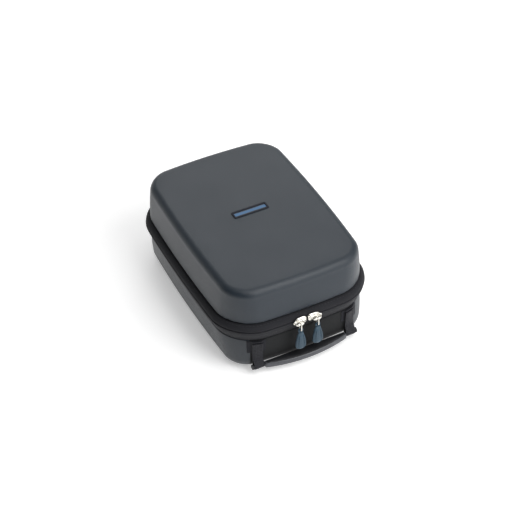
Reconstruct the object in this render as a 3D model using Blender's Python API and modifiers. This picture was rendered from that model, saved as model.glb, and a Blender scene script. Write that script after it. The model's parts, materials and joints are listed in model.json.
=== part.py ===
"""A zip-round moulded carry case for a golf launch monitor, as an assembly of separate pieces.

X runs across the case, Y along it with the handle and the zip pulls at -Y, and Z is up.
The origin is the middle of the flat bottom. Every size is in metres.
"""

import math

import bmesh
import bpy

# ---- Driving dimensions -------------------------------------------------------------------------
# Plan outline of the zip band, which is the widest part of the case. Every inset is drawn in from it.
CASE_WIDTH = 0.160
CASE_LENGTH = 0.224
SIDE_BOW = 0.0037
BAND_CORNER = 0.0382
CASE_HEIGHT = 0.0990
ZIP_HEIGHT = 0.0546

# Moulded shells
SHELL_WALL = 0.0032
LINING_WALL = 0.0010
LID_FOOT_ABOVE_ZIP = 0.0070
LID_FOOT_INSET = 0.0052
LID_TOP_INSET = 0.0084
LID_TOP_CORNER = 0.0243
LID_EDGE_RADIUS = 0.0080
LID_FOOT_ROUND = 0.0018
BASE_TOP_BELOW_ZIP = 0.0142
BASE_TOP_INSET = 0.0050
BASE_FOOT_INSET = 0.0075
BASE_FOOT_CORNER = 0.0223
BASE_EDGE_RADIUS = 0.0147
FLANGE_STEP = 0.0021
RIM_BELOW_ZIP = 0.0028

# Zip
TAPE_THICKNESS = 0.0008
TAPE_BULGE_INSET = 0.0006
# The lower tape's swell: shares of the base's inset, and of the rise from the base's top to the zip
TAPE_SWELL = ((0.66, 0.36), (0.28, 0.68))
TAPE_KNEE_BELOW_ZIP = 0.0017
COIL_HEIGHT = 0.0026
COIL_THICKNESS = 0.0018
COIL_BEHIND_TAPE = 0.0012
SLIDER_LENGTH = 0.0126
SLIDER_HEIGHT = 0.0094
SLIDER_PLATE = 0.0016
SLIDER_SPACING = 0.0140
SLIDER_INNER_GAP = 0.0008
SLIDER_INNER_PLATE = 0.0010
SLIDER_EDGE = 0.0006
SLIDER_INNER_EDGE = 0.0003
CROWN_OFFSET = 0.0022
CROWN_SPAN = 0.0078
CROWN_REACH = 0.0032
CROWN_WIRE = 0.0008
CROWN_BELOW_ZIP = 0.0014
CROWN_SQUARENESS = 0.5
LINK_WIRE = 0.00065
LINK_WIDTH = 0.0042
LINK_LENGTH = 0.0068
PULL_LENGTH = 0.0258
PULL_WIDTH = 0.0112
PULL_NECK_WIDTH = 0.0052
PULL_THICKNESS = 0.0034
PULL_NECK_THICKNESS = 0.0020
PULL_EDGE = 0.00095
PULL_EYE_RADIUS = 0.0012
PULL_EYE_BELOW_TOP = 0.0024

# Rim binding
BINDING_WIDTH = 0.0048
BINDING_HEIGHT = 0.0020

# Handle
HANDLE_HALF_SPAN = 0.0570
HANDLE_ARCH_HALF = 0.0430
HANDLE_REACH = 0.0112
HANDLE_END_REACH = 0.0048
HANDLE_THICKNESS = 0.0060
HANDLE_EDGE = 0.00125
HANDLE_PAD_THICKNESS = 0.0008
HANDLE_PAD_MARGIN = 0.0014
HANDLE_HEIGHT = 0.0095
HANDLE_FROM_WALL = 0.0026
HANDLE_BAR_RADIUS = 0.0018
HANDLE_STOP_RADIUS = 0.0030
HANDLE_STOP_LENGTH = 0.0018
WEB_WIDTH = 0.0100
WEB_THICKNESS = 0.0010
WEB_TOP_BELOW_BAND = 0.0006
WEB_LAP_TOP = 0.0380
WEB_LEAVES_WALL = 0.0200
PATCH_WIDTH = 0.0180
PATCH_HEIGHT = 0.0150
PATCH_THICKNESS = 0.0006

# Inside
INSERT_BELOW_RIM = 0.0080
MONITOR_LENGTH = 0.1720
MONITOR_WIDTH = 0.1160
MONITOR_POCKET_DEPTH = 0.0300
MONITOR_CORNER = 0.0120
FINGER_RADIUS = 0.0130
LID_PAD_THICKNESS = 0.0080
NET_THICKNESS = 0.0010
NET_MOUTH = 0.0300
NET_HEM_HEIGHT = 0.0030
NET_HEM_WIDTH = 0.0090

# Badge
BADGE_LENGTH = 0.0380
BADGE_WIDTH = 0.0104
BADGE_RIM = 0.0016
BADGE_HEIGHT = 0.0014
BADGE_SEAT_DEPTH = 0.0006
BADGE_FLOOR = 0.0006
BADGE_Y = 0.0040

# Fits
GAP = 0.0003
LINING_CLEARANCE = 0.0008
ZIP_PART_GAP = 0.0003

# Steps of the plan outline
CORNER_STEPS = 6
SHORT_HALF_STEPS = 2
LONG_STEPS = 4

HALF_WIDTH = CASE_WIDTH / 2
HALF_LENGTH = CASE_LENGTH / 2
LID_FOOT = ZIP_HEIGHT + LID_FOOT_ABOVE_ZIP
BASE_TOP = ZIP_HEIGHT - BASE_TOP_BELOW_ZIP
BASE_RIM = ZIP_HEIGHT - RIM_BELOW_ZIP
LID_RIM = ZIP_HEIGHT + RIM_BELOW_ZIP
BASE_FLANGE_INSET = BASE_TOP_INSET + FLANGE_STEP
LID_FLANGE_INSET = LID_FOOT_INSET + FLANGE_STEP
LINING_DEPTH = SHELL_WALL + LINING_CLEARANCE
INSERT_DEPTH = LINING_DEPTH + LINING_WALL + LINING_CLEARANCE

COLOURS = {
    "shell": ((0.075, 0.088, 0.105), 0.62, 0.0),
    "lining": ((0.030, 0.030, 0.034), 0.90, 0.0),
    "tape": ((0.018, 0.018, 0.021), 0.85, 0.0),
    "coil": ((0.012, 0.012, 0.014), 0.45, 0.0),
    "foam": ((0.035, 0.036, 0.040), 0.95, 0.0),
    "steel": ((0.80, 0.78, 0.72), 0.25, 1.0),
    "rubber": ((0.065, 0.125, 0.180), 0.50, 0.0),
    "handle": ((0.130, 0.135, 0.145), 0.50, 0.0),
    "badge_rim": ((0.010, 0.014, 0.030), 0.40, 0.0),
    "badge_face": ((0.070, 0.200, 0.360), 0.35, 0.0),
}


# ---- Scene, materials and collections -----------------------------------------------------------
def clear_scene():
    """Remove every object, so that the model starts from an empty scene."""
    for old in list(bpy.data.objects):
        bpy.data.objects.remove(old, do_unlink=True)


def new_collection(name):
    """A collection linked to the scene."""
    made = bpy.data.collections.new(name)
    bpy.context.scene.collection.children.link(made)
    return made


def dress(obj, finish):
    """Give the object its own Principled material."""
    colour, roughness, metallic = COLOURS[finish]
    material = bpy.data.materials.new(obj.name)
    material.use_nodes = True
    shader = material.node_tree.nodes["Principled BSDF"]
    shader.inputs["Base Color"].default_value = (*colour, 1.0)
    shader.inputs["Roughness"].default_value = roughness
    shader.inputs["Metallic"].default_value = metallic
    obj.data.materials.clear()
    obj.data.materials.append(material)


def add_object(name, mesh, finish, smooth_angle=35):
    """Link a mesh as a part, shaded smooth up to this angle in degrees."""
    obj = bpy.data.objects.new(name, mesh)
    PARTS.objects.link(obj)
    mesh.shade_smooth()
    mesh.set_sharp_from_angle(angle=math.radians(smooth_angle))
    dress(obj, finish)
    return obj


def make_cutter(obj):
    """Turn an object into a Boolean cutter, which isn't rendered."""
    for collection in list(obj.users_collection):
        collection.objects.unlink(obj)
    CUTTERS.objects.link(obj)
    obj.hide_render = True
    obj.display_type = "WIRE"
    return obj


def boolean(obj, other, operation):
    """Add a Boolean modifier that keeps the exact solver."""
    modifier = obj.modifiers.new(operation.title(), "BOOLEAN")
    modifier.object = other
    modifier.operation = operation


def bevel(obj, width, segments=2, angle=40):
    """Round the edges that are sharper than this angle in degrees."""
    modifier = obj.modifiers.new("Bevel", "BEVEL")
    modifier.width = width
    modifier.segments = segments
    modifier.limit_method = "ANGLE"
    modifier.angle_limit = math.radians(angle)


def solidify(obj, thickness, offset=-1):
    """Thicken an open surface, away from its outer side or about its middle."""
    modifier = obj.modifiers.new("Solidify", "SOLIDIFY")
    modifier.thickness = thickness
    modifier.offset = offset
    modifier.use_even_offset = True
    modifier.use_quality_normals = True


def set_origin(obj, point):
    """Move the object's origin to a point and leave its shape where it is."""
    for vertex in obj.data.vertices:
        vertex.co.x -= point[0]
        vertex.co.y -= point[1]
        vertex.co.z -= point[2]
    obj.location = point


# ---- Plan outlines ------------------------------------------------------------------------------
def bowed(x, y, half_x, half_y):
    """Push a point of a rounded rectangle out by the gentle bow of the sides."""
    out_x = math.copysign(SIDE_BOW * (abs(x) / half_x) ** 4 * (1 - (y / half_y) ** 2), x)
    out_y = math.copysign(SIDE_BOW * (abs(y) / half_y) ** 4 * (1 - (x / half_x) ** 2), y)
    return x + out_x, y + out_y


def outline(inset, corner, z, rear_side=True):
    """Points round the case, counterclockwise from the middle of the rear side.

    Without the rear side the run is open, from one rear corner round the front to the other.
    """
    half_x, half_y = HALF_WIDTH - inset, HALF_LENGTH - inset
    flat_x, flat_y = half_x - corner, half_y - corner
    points = []
    for quarter in range(4):
        sign_x = -1 if quarter < 2 else 1
        sign_y = 1 if quarter in (0, 3) else -1
        start = math.pi / 2 * (quarter + 1)
        for step in range(CORNER_STEPS + 1):
            angle = start + math.pi / 2 * step / CORNER_STEPS
            x = sign_x * flat_x + corner * math.cos(angle)
            points.append((x, sign_y * flat_y + corner * math.sin(angle)))
        if quarter == 1:
            shares = [k / SHORT_HALF_STEPS for k in range(1 - SHORT_HALF_STEPS, SHORT_HALF_STEPS)]
            points += [(flat_x * share, -half_y) for share in shares]
        elif quarter in (0, 2):
            side = -sign_y * flat_y
            run = [side * (2 * k / LONG_STEPS - 1) for k in range(1, LONG_STEPS)]
            points += [(sign_x * half_x, y) for y in run]
    if rear_side:
        points += [(flat_x * (1 - k / SHORT_HALF_STEPS), half_y) for k in range(1, 2 * SHORT_HALF_STEPS)]
    return [(*bowed(x, y, half_x, half_y), z) for x, y in points]


def rear_run(inset, corner, z, margin):
    """Points along the straight rear side, from +X to -X, ending short of the corners by a margin."""
    half_x, half_y = HALF_WIDTH - inset, HALF_LENGTH - inset
    reach = HALF_WIDTH - BAND_CORNER - margin
    steps = 2 * SHORT_HALF_STEPS
    run = [reach * (1 - 2 * k / steps) for k in range(steps + 1)]
    return [(*bowed(x, half_y, half_x, half_y), z) for x in run]


def band_corner(inset):
    """Corner radius of the zip band at this inset."""
    return BAND_CORNER - inset


def loft(name, rows, finish, ring=True, bottom=False, top=False):
    """A surface through rows of points that run from bottom to top, with optional flat caps."""
    mesh = bpy.data.meshes.new(name)
    shape = bmesh.new()
    levels = [[shape.verts.new(point) for point in row] for row in rows]
    count = len(rows[0])
    for low, high in zip(levels, levels[1:]):
        for k in range(count if ring else count - 1):
            after = (k + 1) % count
            shape.faces.new((low[k], low[after], high[after], high[k]))
    if bottom:
        shape.faces.new(reversed(levels[0]))
    if top:
        shape.faces.new(levels[-1])
    shape.to_mesh(mesh)
    shape.free()
    return add_object(name, mesh, finish)


def prism(name, points, low, high, finish):
    """A flat outline in X and Y, filled and given a height."""
    curve = bpy.data.curves.new(name, "CURVE")
    curve.dimensions = "2D"
    curve.fill_mode = "BOTH"
    curve.extrude = (high - low) / 2
    spline = curve.splines.new("POLY")
    spline.points.add(len(points) - 1)
    for point, (x, y) in zip(spline.points, points):
        point.co = (x, y, 0, 1)
    spline.use_cyclic_u = True
    return as_mesh(name, curve, (0, 0, (low + high) / 2), finish)


def tube(name, path, radius, finish, closed=False, resolution=2):
    """A round wire along a path, with filled caps where it is open."""
    curve = bpy.data.curves.new(name, "CURVE")
    curve.dimensions = "3D"
    curve.bevel_depth = radius
    curve.bevel_resolution = resolution
    curve.use_fill_caps = not closed
    spline = curve.splines.new("POLY")
    spline.points.add(len(path) - 1)
    for point, place in zip(spline.points, path):
        point.co = (*place, 1)
    spline.use_cyclic_u = closed
    return as_mesh(name, curve, (0, 0, 0), finish)


def as_mesh(name, curve, place, finish):
    """Turn a curve into a welded mesh object at its own place."""
    guide = bpy.data.objects.new(name + "_guide", curve)
    bpy.context.scene.collection.objects.link(guide)
    bpy.context.view_layer.update()
    evaluated = guide.evaluated_get(bpy.context.evaluated_depsgraph_get())
    mesh = bpy.data.meshes.new_from_object(evaluated)
    bpy.data.objects.remove(guide, do_unlink=True)
    mesh.name = name
    weld(mesh)
    for vertex in mesh.vertices:
        vertex.co.x += place[0]
        vertex.co.y += place[1]
        vertex.co.z += place[2]
    return add_object(name, mesh, finish)


def weld(mesh):
    """Join the caps to the sides and face every face outward."""
    shape = bmesh.new()
    shape.from_mesh(mesh)
    bmesh.ops.remove_doubles(shape, verts=shape.verts, dist=1e-6)
    bmesh.ops.recalc_face_normals(shape, faces=shape.faces)
    shape.to_mesh(mesh)
    shape.free()


def box(name, centre, size, finish):
    """A box from the cube primitive, with its size in its mesh."""
    mesh = bpy.data.meshes.new(name)
    shape = bmesh.new()
    bmesh.ops.create_cube(shape, size=1)
    for vertex in shape.verts:
        vertex.co = [c + v * s for c, v, s in zip(centre, vertex.co, size)]
    shape.to_mesh(mesh)
    shape.free()
    return add_object(name, mesh, finish)


def rod(name, start, length, radius, finish, sides=16):
    """A cylinder along X from its start point."""
    mesh = bpy.data.meshes.new(name)
    shape = bmesh.new()
    bmesh.ops.create_cone(shape, cap_ends=True, segments=sides, radius1=radius, radius2=radius, depth=length)
    for vertex in shape.verts:
        x, y, z = vertex.co
        vertex.co = (start[0] + length / 2 + z, start[1] + y, start[2] - x)
    shape.to_mesh(mesh)
    shape.free()
    return add_object(name, mesh, finish)


def rounded_rectangle(width, length, corner, centre=(0, 0), steps=4):
    """Plan points of a rectangle with round corners."""
    points = []
    for quarter in range(4):
        start = math.pi / 2 * quarter
        sign_x = 1 if quarter in (0, 3) else -1
        sign_y = 1 if quarter < 2 else -1
        for step in range(steps + 1):
            angle = start + math.pi / 2 * step / steps
            x = sign_x * (width / 2 - corner) + corner * math.cos(angle)
            y = sign_y * (length / 2 - corner) + corner * math.sin(angle)
            points.append((centre[0] + x, centre[1] + y))
    return points


# ---- Profiles of the two shells, at a depth below their outer skin --------------------------------
def base_bottom_rows(depth, steps):
    """Rows of the base from its flat bottom up round the edge to the foot of its wall."""
    radius = BASE_EDGE_RADIUS - depth
    rows = []
    for k in range(steps + 1):
        angle = math.pi / 2 * k / steps
        inset = BASE_FOOT_INSET + depth + radius * (1 - math.sin(angle))
        corner = BASE_FOOT_CORNER - depth - radius * (1 - math.sin(angle))
        rows.append(outline(inset, corner, depth + radius * (1 - math.cos(angle))))
    return rows


def lid_lining_face(z):
    """Inset and corner radius of the lining's inner face in the lid at height z."""
    depth = LINING_DEPTH + LINING_WALL
    share = (z - LID_RIM) / (CASE_HEIGHT - LID_EDGE_RADIUS - LID_RIM)
    rim_inset = LID_FLANGE_INSET + depth
    inset = rim_inset + share * (LID_TOP_INSET + depth - rim_inset)
    corner = band_corner(rim_inset) + share * (LID_TOP_CORNER - depth - band_corner(rim_inset))
    return inset, corner


def lid_top_rows(depth, steps):
    """Rows of the lid from the head of its wall round the edge to its flat top."""
    radius = LID_EDGE_RADIUS - depth
    rows = []
    for k in range(steps + 1):
        angle = math.pi / 2 * k / steps
        inset = LID_TOP_INSET + depth + radius * (1 - math.cos(angle))
        corner = LID_TOP_CORNER - depth - radius * (1 - math.cos(angle))
        rows.append(outline(inset, corner, CASE_HEIGHT - depth - radius * (1 - math.sin(angle))))
    return rows


def base_wall(z):
    """Inset and corner radius of the base's outer wall at height z."""
    share = (z - BASE_EDGE_RADIUS) / (BASE_TOP - BASE_EDGE_RADIUS)
    inset = BASE_FOOT_INSET + share * (BASE_TOP_INSET - BASE_FOOT_INSET)
    corner = BASE_FOOT_CORNER + share * (band_corner(BASE_TOP_INSET) - BASE_FOOT_CORNER)
    return inset, corner


def lid_wall(z):
    """Inset and corner radius of the lid's outer wall at height z."""
    foot = LID_FOOT + LID_FOOT_ROUND
    share = (z - foot) / (CASE_HEIGHT - LID_EDGE_RADIUS - foot)
    inset = LID_FOOT_INSET + share * (LID_TOP_INSET - LID_FOOT_INSET)
    corner = band_corner(LID_FOOT_INSET) + share * (LID_TOP_CORNER - band_corner(LID_FOOT_INSET))
    return inset, corner


def front_face(x, z):
    """Y of the base's outer skin on the front side, at x and height z."""
    if z < BASE_EDGE_RADIUS:
        rise = BASE_EDGE_RADIUS - z
        drawn_in = BASE_EDGE_RADIUS - math.sqrt(BASE_EDGE_RADIUS**2 - rise**2)
        inset, corner = BASE_FOOT_INSET + drawn_in, BASE_FOOT_CORNER - drawn_in
    else:
        inset, corner = base_wall(z)
    half_x, half_y = HALF_WIDTH - inset, HALF_LENGTH - inset
    past = max(abs(x) - (half_x - corner), 0)
    y = -(half_y - corner) - math.sqrt(corner**2 - past**2)
    return bowed(x, y, half_x, half_y)[1]


# ---- Base ---------------------------------------------------------------------------------------
def build_base():
    """Moulded base shell, its lining, the foam insert and the bound rim."""
    flange = BASE_FLANGE_INSET
    middle = (BASE_EDGE_RADIUS + BASE_TOP) / 2
    rows = base_bottom_rows(0, 4)
    rows.append(outline(*base_wall(middle), middle))
    rows.append(outline(BASE_TOP_INSET, band_corner(BASE_TOP_INSET), BASE_TOP))
    rows.append(outline(flange, band_corner(flange), BASE_TOP + GAP))
    rows.append(outline(flange, band_corner(flange), BASE_RIM))
    shell = loft("base_shell", rows, "shell", bottom=True)
    solidify(shell, SHELL_WALL)

    depth = flange + LINING_DEPTH
    rows = base_bottom_rows(LINING_DEPTH, 3)
    rows.append(outline(depth, band_corner(depth), BASE_TOP))
    rows.append(outline(depth, band_corner(depth), BASE_RIM))
    lining = loft("base_lining", rows, "lining", bottom=True)
    solidify(lining, LINING_WALL)

    depth = flange + INSERT_DEPTH
    top = BASE_RIM - INSERT_BELOW_RIM
    rows = base_bottom_rows(INSERT_DEPTH, 2)
    rows.append(outline(depth, band_corner(depth), BASE_TOP))
    rows.append(outline(depth, band_corner(depth), top))
    insert = loft("foam_insert", rows, "foam", bottom=True, top=True)
    pocket = prism(
        "monitor_pocket_cutter",
        rounded_rectangle(MONITOR_WIDTH, MONITOR_LENGTH, MONITOR_CORNER),
        top - MONITOR_POCKET_DEPTH,
        top + SHELL_WALL,
        "foam",
    )
    boolean(insert, make_cutter(pocket), "DIFFERENCE")
    scoop_width = 2 * FINGER_RADIUS
    for side in (-1, 1):
        scoop = prism(
            "finger_scoop_cutter",
            rounded_rectangle(scoop_width, scoop_width, FINGER_RADIUS, (side * MONITOR_WIDTH / 2, 0)),
            top - MONITOR_POCKET_DEPTH / 2,
            top + SHELL_WALL,
            "foam",
        )
        boolean(insert, make_cutter(scoop), "DIFFERENCE")
    build_binding("base_rim_binding", flange, BASE_RIM + GAP)


def build_binding(name, inset, low):
    """A woven binding that caps a shell's rim and its lining, all the way round."""
    rows = [outline(r, band_corner(r), low + BINDING_HEIGHT) for r in (inset, inset + BINDING_WIDTH)]
    binding = loft(name, rows, "tape")
    solidify(binding, BINDING_HEIGHT)
    bevel(binding, BINDING_HEIGHT / 4, 1)


# ---- Lid ----------------------------------------------------------------------------------------
def build_lid():
    """Moulded lid shell, its lining, its pad, the net pocket and the bound rim."""
    flange = LID_FLANGE_INSET
    foot = LID_FOOT + LID_FOOT_ROUND
    middle = (foot + CASE_HEIGHT - LID_EDGE_RADIUS) / 2
    rolled = LID_FOOT_INSET + LID_FOOT_ROUND / 3
    rows = [
        outline(flange, band_corner(flange), LID_RIM),
        outline(flange, band_corner(flange), LID_FOOT),
        outline(rolled, band_corner(rolled), LID_FOOT + GAP),
        outline(LID_FOOT_INSET, band_corner(LID_FOOT_INSET), foot),
        outline(*lid_wall(middle), middle),
    ]
    rows += lid_top_rows(0, 4)
    shell = loft("lid_shell", rows, "shell", top=True)
    solidify(shell, SHELL_WALL)
    seat = prism(
        "badge_seat_cutter",
        rounded_rectangle(BADGE_LENGTH + 2 * GAP, BADGE_WIDTH + 2 * GAP, BADGE_RIM, (0, BADGE_Y)),
        CASE_HEIGHT - BADGE_SEAT_DEPTH,
        CASE_HEIGHT + BADGE_HEIGHT,
        "shell",
    )
    boolean(shell, make_cutter(seat), "DIFFERENCE")

    depth = flange + LINING_DEPTH
    rows = [outline(depth, band_corner(depth), z) for z in (LID_RIM, foot)]
    rows += lid_top_rows(LINING_DEPTH, 3)
    lining = loft("lid_lining", rows, "lining", top=True)
    solidify(lining, LINING_WALL)

    low = CASE_HEIGHT - INSERT_DEPTH - LID_PAD_THICKNESS
    inset = LID_TOP_INSET + INSERT_DEPTH
    rows = [outline(inset, LID_TOP_CORNER - INSERT_DEPTH, low)] + lid_top_rows(INSERT_DEPTH, 1)
    loft("lid_pad", rows, "foam", bottom=True, top=True)

    net_low = (LID_RIM + low) / 2
    inset, corner = lid_lining_face(net_low + NET_THICKNESS)
    inset += GAP
    half_x, half_y = HALF_WIDTH - inset, HALF_LENGTH - inset
    mouth = -half_y + NET_MOUTH
    ring = [point[:2] for point in outline(inset, corner, 0) if point[1] > mouth + NET_HEM_WIDTH]
    edge_x = half_x + bowed(half_x, mouth, half_x, half_y)[0] - half_x
    left = [point for point in ring if point[0] < 0]
    right = [point for point in ring if point[0] >= 0]
    left.sort(key=lambda point: math.atan2(point[1], -point[0]), reverse=True)
    right.sort(key=lambda point: math.atan2(point[1], point[0]))
    points = left + [(-edge_x, mouth), (edge_x, mouth)] + right
    prism("net_pocket", points, net_low, net_low + NET_THICKNESS, "tape")
    hem = box(
        "net_pocket_hem",
        (0, mouth - GAP - NET_HEM_WIDTH / 2, net_low + NET_THICKNESS / 2),
        (2 * (edge_x - LINING_CLEARANCE), NET_HEM_WIDTH, NET_HEM_HEIGHT),
        "tape",
    )
    bevel(hem, NET_HEM_HEIGHT / 4)
    build_binding("lid_rim_binding", flange, LID_RIM - GAP - BINDING_HEIGHT)


def build_badge():
    """A raised rim with a plain striped insert, seated in the top of the lid."""
    low = CASE_HEIGHT - BADGE_SEAT_DEPTH + GAP
    centre = (0, BADGE_Y)
    frame = prism(
        "badge_frame",
        rounded_rectangle(BADGE_LENGTH, BADGE_WIDTH, BADGE_RIM, centre),
        low,
        low + BADGE_HEIGHT,
        "badge_rim",
    )
    window_length, window_width = BADGE_LENGTH - 2 * BADGE_RIM, BADGE_WIDTH - 2 * BADGE_RIM
    window = prism(
        "badge_window_cutter",
        rounded_rectangle(window_length, window_width, BADGE_RIM / 2, centre),
        low + BADGE_FLOOR,
        low + 2 * BADGE_HEIGHT,
        "badge_rim",
    )
    boolean(frame, make_cutter(window), "DIFFERENCE")
    prism(
        "badge_insert",
        rounded_rectangle(window_length - 2 * GAP, window_width - 2 * GAP, BADGE_RIM / 2 - GAP, centre),
        low + BADGE_FLOOR + GAP,
        low + BADGE_HEIGHT,
        "badge_face",
    )


# ---- Zip ----------------------------------------------------------------------------------------
def upper_tape_section():
    """Inset and height of the upper tape's outer face, from the zip up to the lid's foot."""
    lip = ZIP_HEIGHT + TAPE_THICKNESS
    rise = LID_FOOT - 3 * GAP - lip
    tuck = LID_FLANGE_INSET - TAPE_THICKNESS - GAP
    section = [(TAPE_BULGE_INSET, ZIP_HEIGHT + ZIP_PART_GAP / 2)]
    steps = 5
    for k in range(steps + 1):
        angle = math.pi / 2 * k / steps
        inset = TAPE_BULGE_INSET + (tuck - TAPE_BULGE_INSET) * (1 - math.cos(angle))
        section.append((inset, lip + rise * math.sin(angle)))
    return section


def lower_tape_section():
    """Inset and height of the lower tape's outer face, from the base's top up to the zip."""
    foot = BASE_TOP + GAP
    drop = ZIP_HEIGHT - foot
    section = [(BASE_TOP_INSET, foot + GAP)]
    section += [(BASE_TOP_INSET * inset, foot + drop * rise) for inset, rise in TAPE_SWELL]
    section += [
        (0, ZIP_HEIGHT - TAPE_KNEE_BELOW_ZIP),
        (TAPE_BULGE_INSET, ZIP_HEIGHT - TAPE_THICKNESS),
        (TAPE_BULGE_INSET, ZIP_HEIGHT - ZIP_PART_GAP / 2),
    ]
    return section


def build_tapes():
    """Both halves of the zip tape, the coils behind them and the fabric hinge across the rear."""
    sections = {"lower": lower_tape_section(), "upper": upper_tape_section()}
    for half, section in sections.items():
        rows = [outline(inset, band_corner(inset), z, rear_side=False) for inset, z in section]
        solidify(loft("zip_tape_" + half, rows, "tape", ring=False), TAPE_THICKNESS)
        rows = [rear_run(inset, band_corner(inset), z, GAP) for inset, z in section]
        solidify(loft("hinge_strip_" + half, rows, "tape", ring=False), TAPE_THICKNESS)
    inset = coil_inset()
    part_line = ZIP_PART_GAP / 2
    runs = {
        "lower": (ZIP_HEIGHT - part_line - COIL_HEIGHT, ZIP_HEIGHT - part_line),
        "upper": (ZIP_HEIGHT + part_line, ZIP_HEIGHT + part_line + COIL_HEIGHT),
    }
    for half, heights in runs.items():
        rows = [outline(inset, band_corner(inset), z, rear_side=False) for z in heights]
        solidify(loft("zip_coil_" + half, rows, "coil", ring=False), COIL_THICKNESS)


def coil_inset():
    """Inset of the coil's outer side, behind the tape."""
    return TAPE_BULGE_INSET + TAPE_THICKNESS + COIL_BEHIND_TAPE


def zip_face():
    """Y of the outermost point of the zip band at the middle of the front."""
    return -HALF_LENGTH - SIDE_BOW


def lid_hinge():
    """A point on the fold of the rear strip, half the tape's thickness outside the zip band."""
    return (0, -zip_face() + TAPE_THICKNESS / 2, ZIP_HEIGHT)


def build_slider(side, name):
    """Outer plate with its crown, and the inner plate behind the coil."""
    x = side * SLIDER_SPACING / 2
    outer = zip_face() - GAP
    plate = box(
        "slider_body_" + name,
        (x, outer - SLIDER_PLATE / 2, ZIP_HEIGHT),
        (SLIDER_LENGTH, SLIDER_PLATE, SLIDER_HEIGHT),
        "steel",
    )
    bevel(plate, SLIDER_EDGE)
    crown_x = x + side * CROWN_OFFSET
    bar_y = crown_bar_y()
    half, foot = CROWN_SPAN / 2, outer - SLIDER_PLATE / 2
    path = []
    steps = 8
    for k in range(steps + 1):
        angle = math.pi * k / steps
        along = math.copysign(abs(math.cos(angle)) ** CROWN_SQUARENESS, math.cos(angle))
        out = max(math.sin(angle), 0) ** CROWN_SQUARENESS
        path.append((crown_x + half * along, foot + (bar_y - foot) * out, crown_bar_z()))
    crown = tube("crown_" + name, path, CROWN_WIRE, "steel", resolution=1)
    boolean(plate, make_cutter(crown), "UNION")

    behind = coil_inset() + COIL_THICKNESS + SLIDER_INNER_GAP
    inner = box(
        "slider_back_" + name,
        (x, zip_face() + behind + SLIDER_INNER_PLATE / 2, ZIP_HEIGHT),
        (SLIDER_LENGTH, SLIDER_INNER_PLATE, 2 * COIL_HEIGHT),
        "steel",
    )
    bevel(inner, SLIDER_INNER_EDGE, 1)
    for piece in (plate, inner):
        set_origin(piece, (x, zip_face(), ZIP_HEIGHT))


def crown_bar_y():
    """Y of the bar that the pull's link hangs on."""
    return zip_face() - GAP - SLIDER_PLATE - CROWN_REACH


def crown_bar_z():
    """Height of the bar that the pull's link hangs on."""
    return ZIP_HEIGHT - CROWN_BELOW_ZIP


def build_pull(side, name):
    """The wire link that hangs on the crown, and the moulded pull that hangs on the link."""
    x = side * (SLIDER_SPACING / 2 + CROWN_OFFSET)
    pivot = (x, crown_bar_y(), crown_bar_z())
    bend = LINK_WIDTH / 2
    steps = 6
    path = []
    for turn, z in ((0, pivot[2]), (1, pivot[2] - LINK_LENGTH + bend)):
        for k in range(steps + 1):
            angle = math.pi * (turn + k / steps)
            path.append((x, pivot[1] + bend * math.cos(angle), z + bend * math.sin(angle)))
    link = tube("pull_link_" + name, path, LINK_WIRE, "steel", closed=True, resolution=1)
    set_origin(link, pivot)

    eye_z = pivot[2] - LINK_LENGTH
    top = eye_z + PULL_EYE_BELOW_TOP
    shoulder = eye_z - 2 * PULL_EYE_RADIUS
    body_shape = pull_body_outline(x, top - PULL_LENGTH, shoulder)
    grip = side_prism("pull_grip_" + name, body_shape, pivot[1], PULL_THICKNESS)
    bevel(grip, PULL_EDGE)
    neck_low = shoulder - PULL_NECK_WIDTH
    neck_shape = rounded_rectangle(
        PULL_NECK_WIDTH - 2 * GAP, top - neck_low, PULL_NECK_WIDTH / 3, (x, (top + neck_low) / 2)
    )
    neck = side_prism("neck_" + name, neck_shape, pivot[1], PULL_NECK_THICKNESS)
    boolean(grip, make_cutter(neck), "UNION")
    eye = rod("eye_" + name, (-PULL_THICKNESS, 0, 0), 2 * PULL_THICKNESS, PULL_EYE_RADIUS, "rubber", 12)
    eye.rotation_euler = (0, 0, math.pi / 2)
    eye.location = (x, pivot[1], eye_z)
    boolean(grip, make_cutter(eye), "DIFFERENCE")
    set_origin(grip, pivot)


def pull_body_outline(x, bottom, shoulder):
    """Outline of a teardrop in X and Z, round at its foot and narrow at its shoulder."""
    wide, narrow = PULL_WIDTH / 2, PULL_NECK_WIDTH / 2
    belly = bottom + wide
    steps = 6
    right = []
    for k in range(steps):
        angle = math.pi / 2 * k / steps
        right.append((wide * math.sin(angle), belly - wide * math.cos(angle)))
    for k in range(steps + 1):
        share = k / steps
        across = narrow + (wide - narrow) * (1 + math.cos(math.pi * share)) / 2
        right.append((across, belly + share * (shoulder - belly)))
    left = [(-across, z) for across, z in reversed(right[1:])]
    return [(x + across, z) for across, z in right + left]


def side_prism(name, points, y, thickness):
    """An outline in X and Z given a thickness about y."""
    made = prism(name, points, -thickness / 2, thickness / 2, "rubber")
    for vertex in made.data.vertices:
        across, up, depth = vertex.co
        vertex.co = (across, y - depth, up)
    return made


# ---- Handle -------------------------------------------------------------------------------------
def handle_axis_y():
    """Y of the axis that the handle swings about."""
    return front_face(0, BASE_EDGE_RADIUS) - HANDLE_FROM_WALL


def arch_points(margin):
    """Plan outline of the handle: a straight inner edge and a bowed outer one."""
    axis = handle_axis_y()
    inner = axis - margin
    half = HANDLE_ARCH_HALF - margin
    sagitta = HANDLE_REACH - HANDLE_END_REACH
    radius = (HANDLE_ARCH_HALF**2 + sagitta**2) / (2 * sagitta)
    centre = axis - HANDLE_REACH + radius
    steps = 12
    points = [(half, inner), (-half, inner)]
    for k in range(steps + 1):
        x = half * (2 * k / steps - 1)
        points.append((x, centre - math.sqrt((radius - margin) ** 2 - x**2)))
    return points


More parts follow.
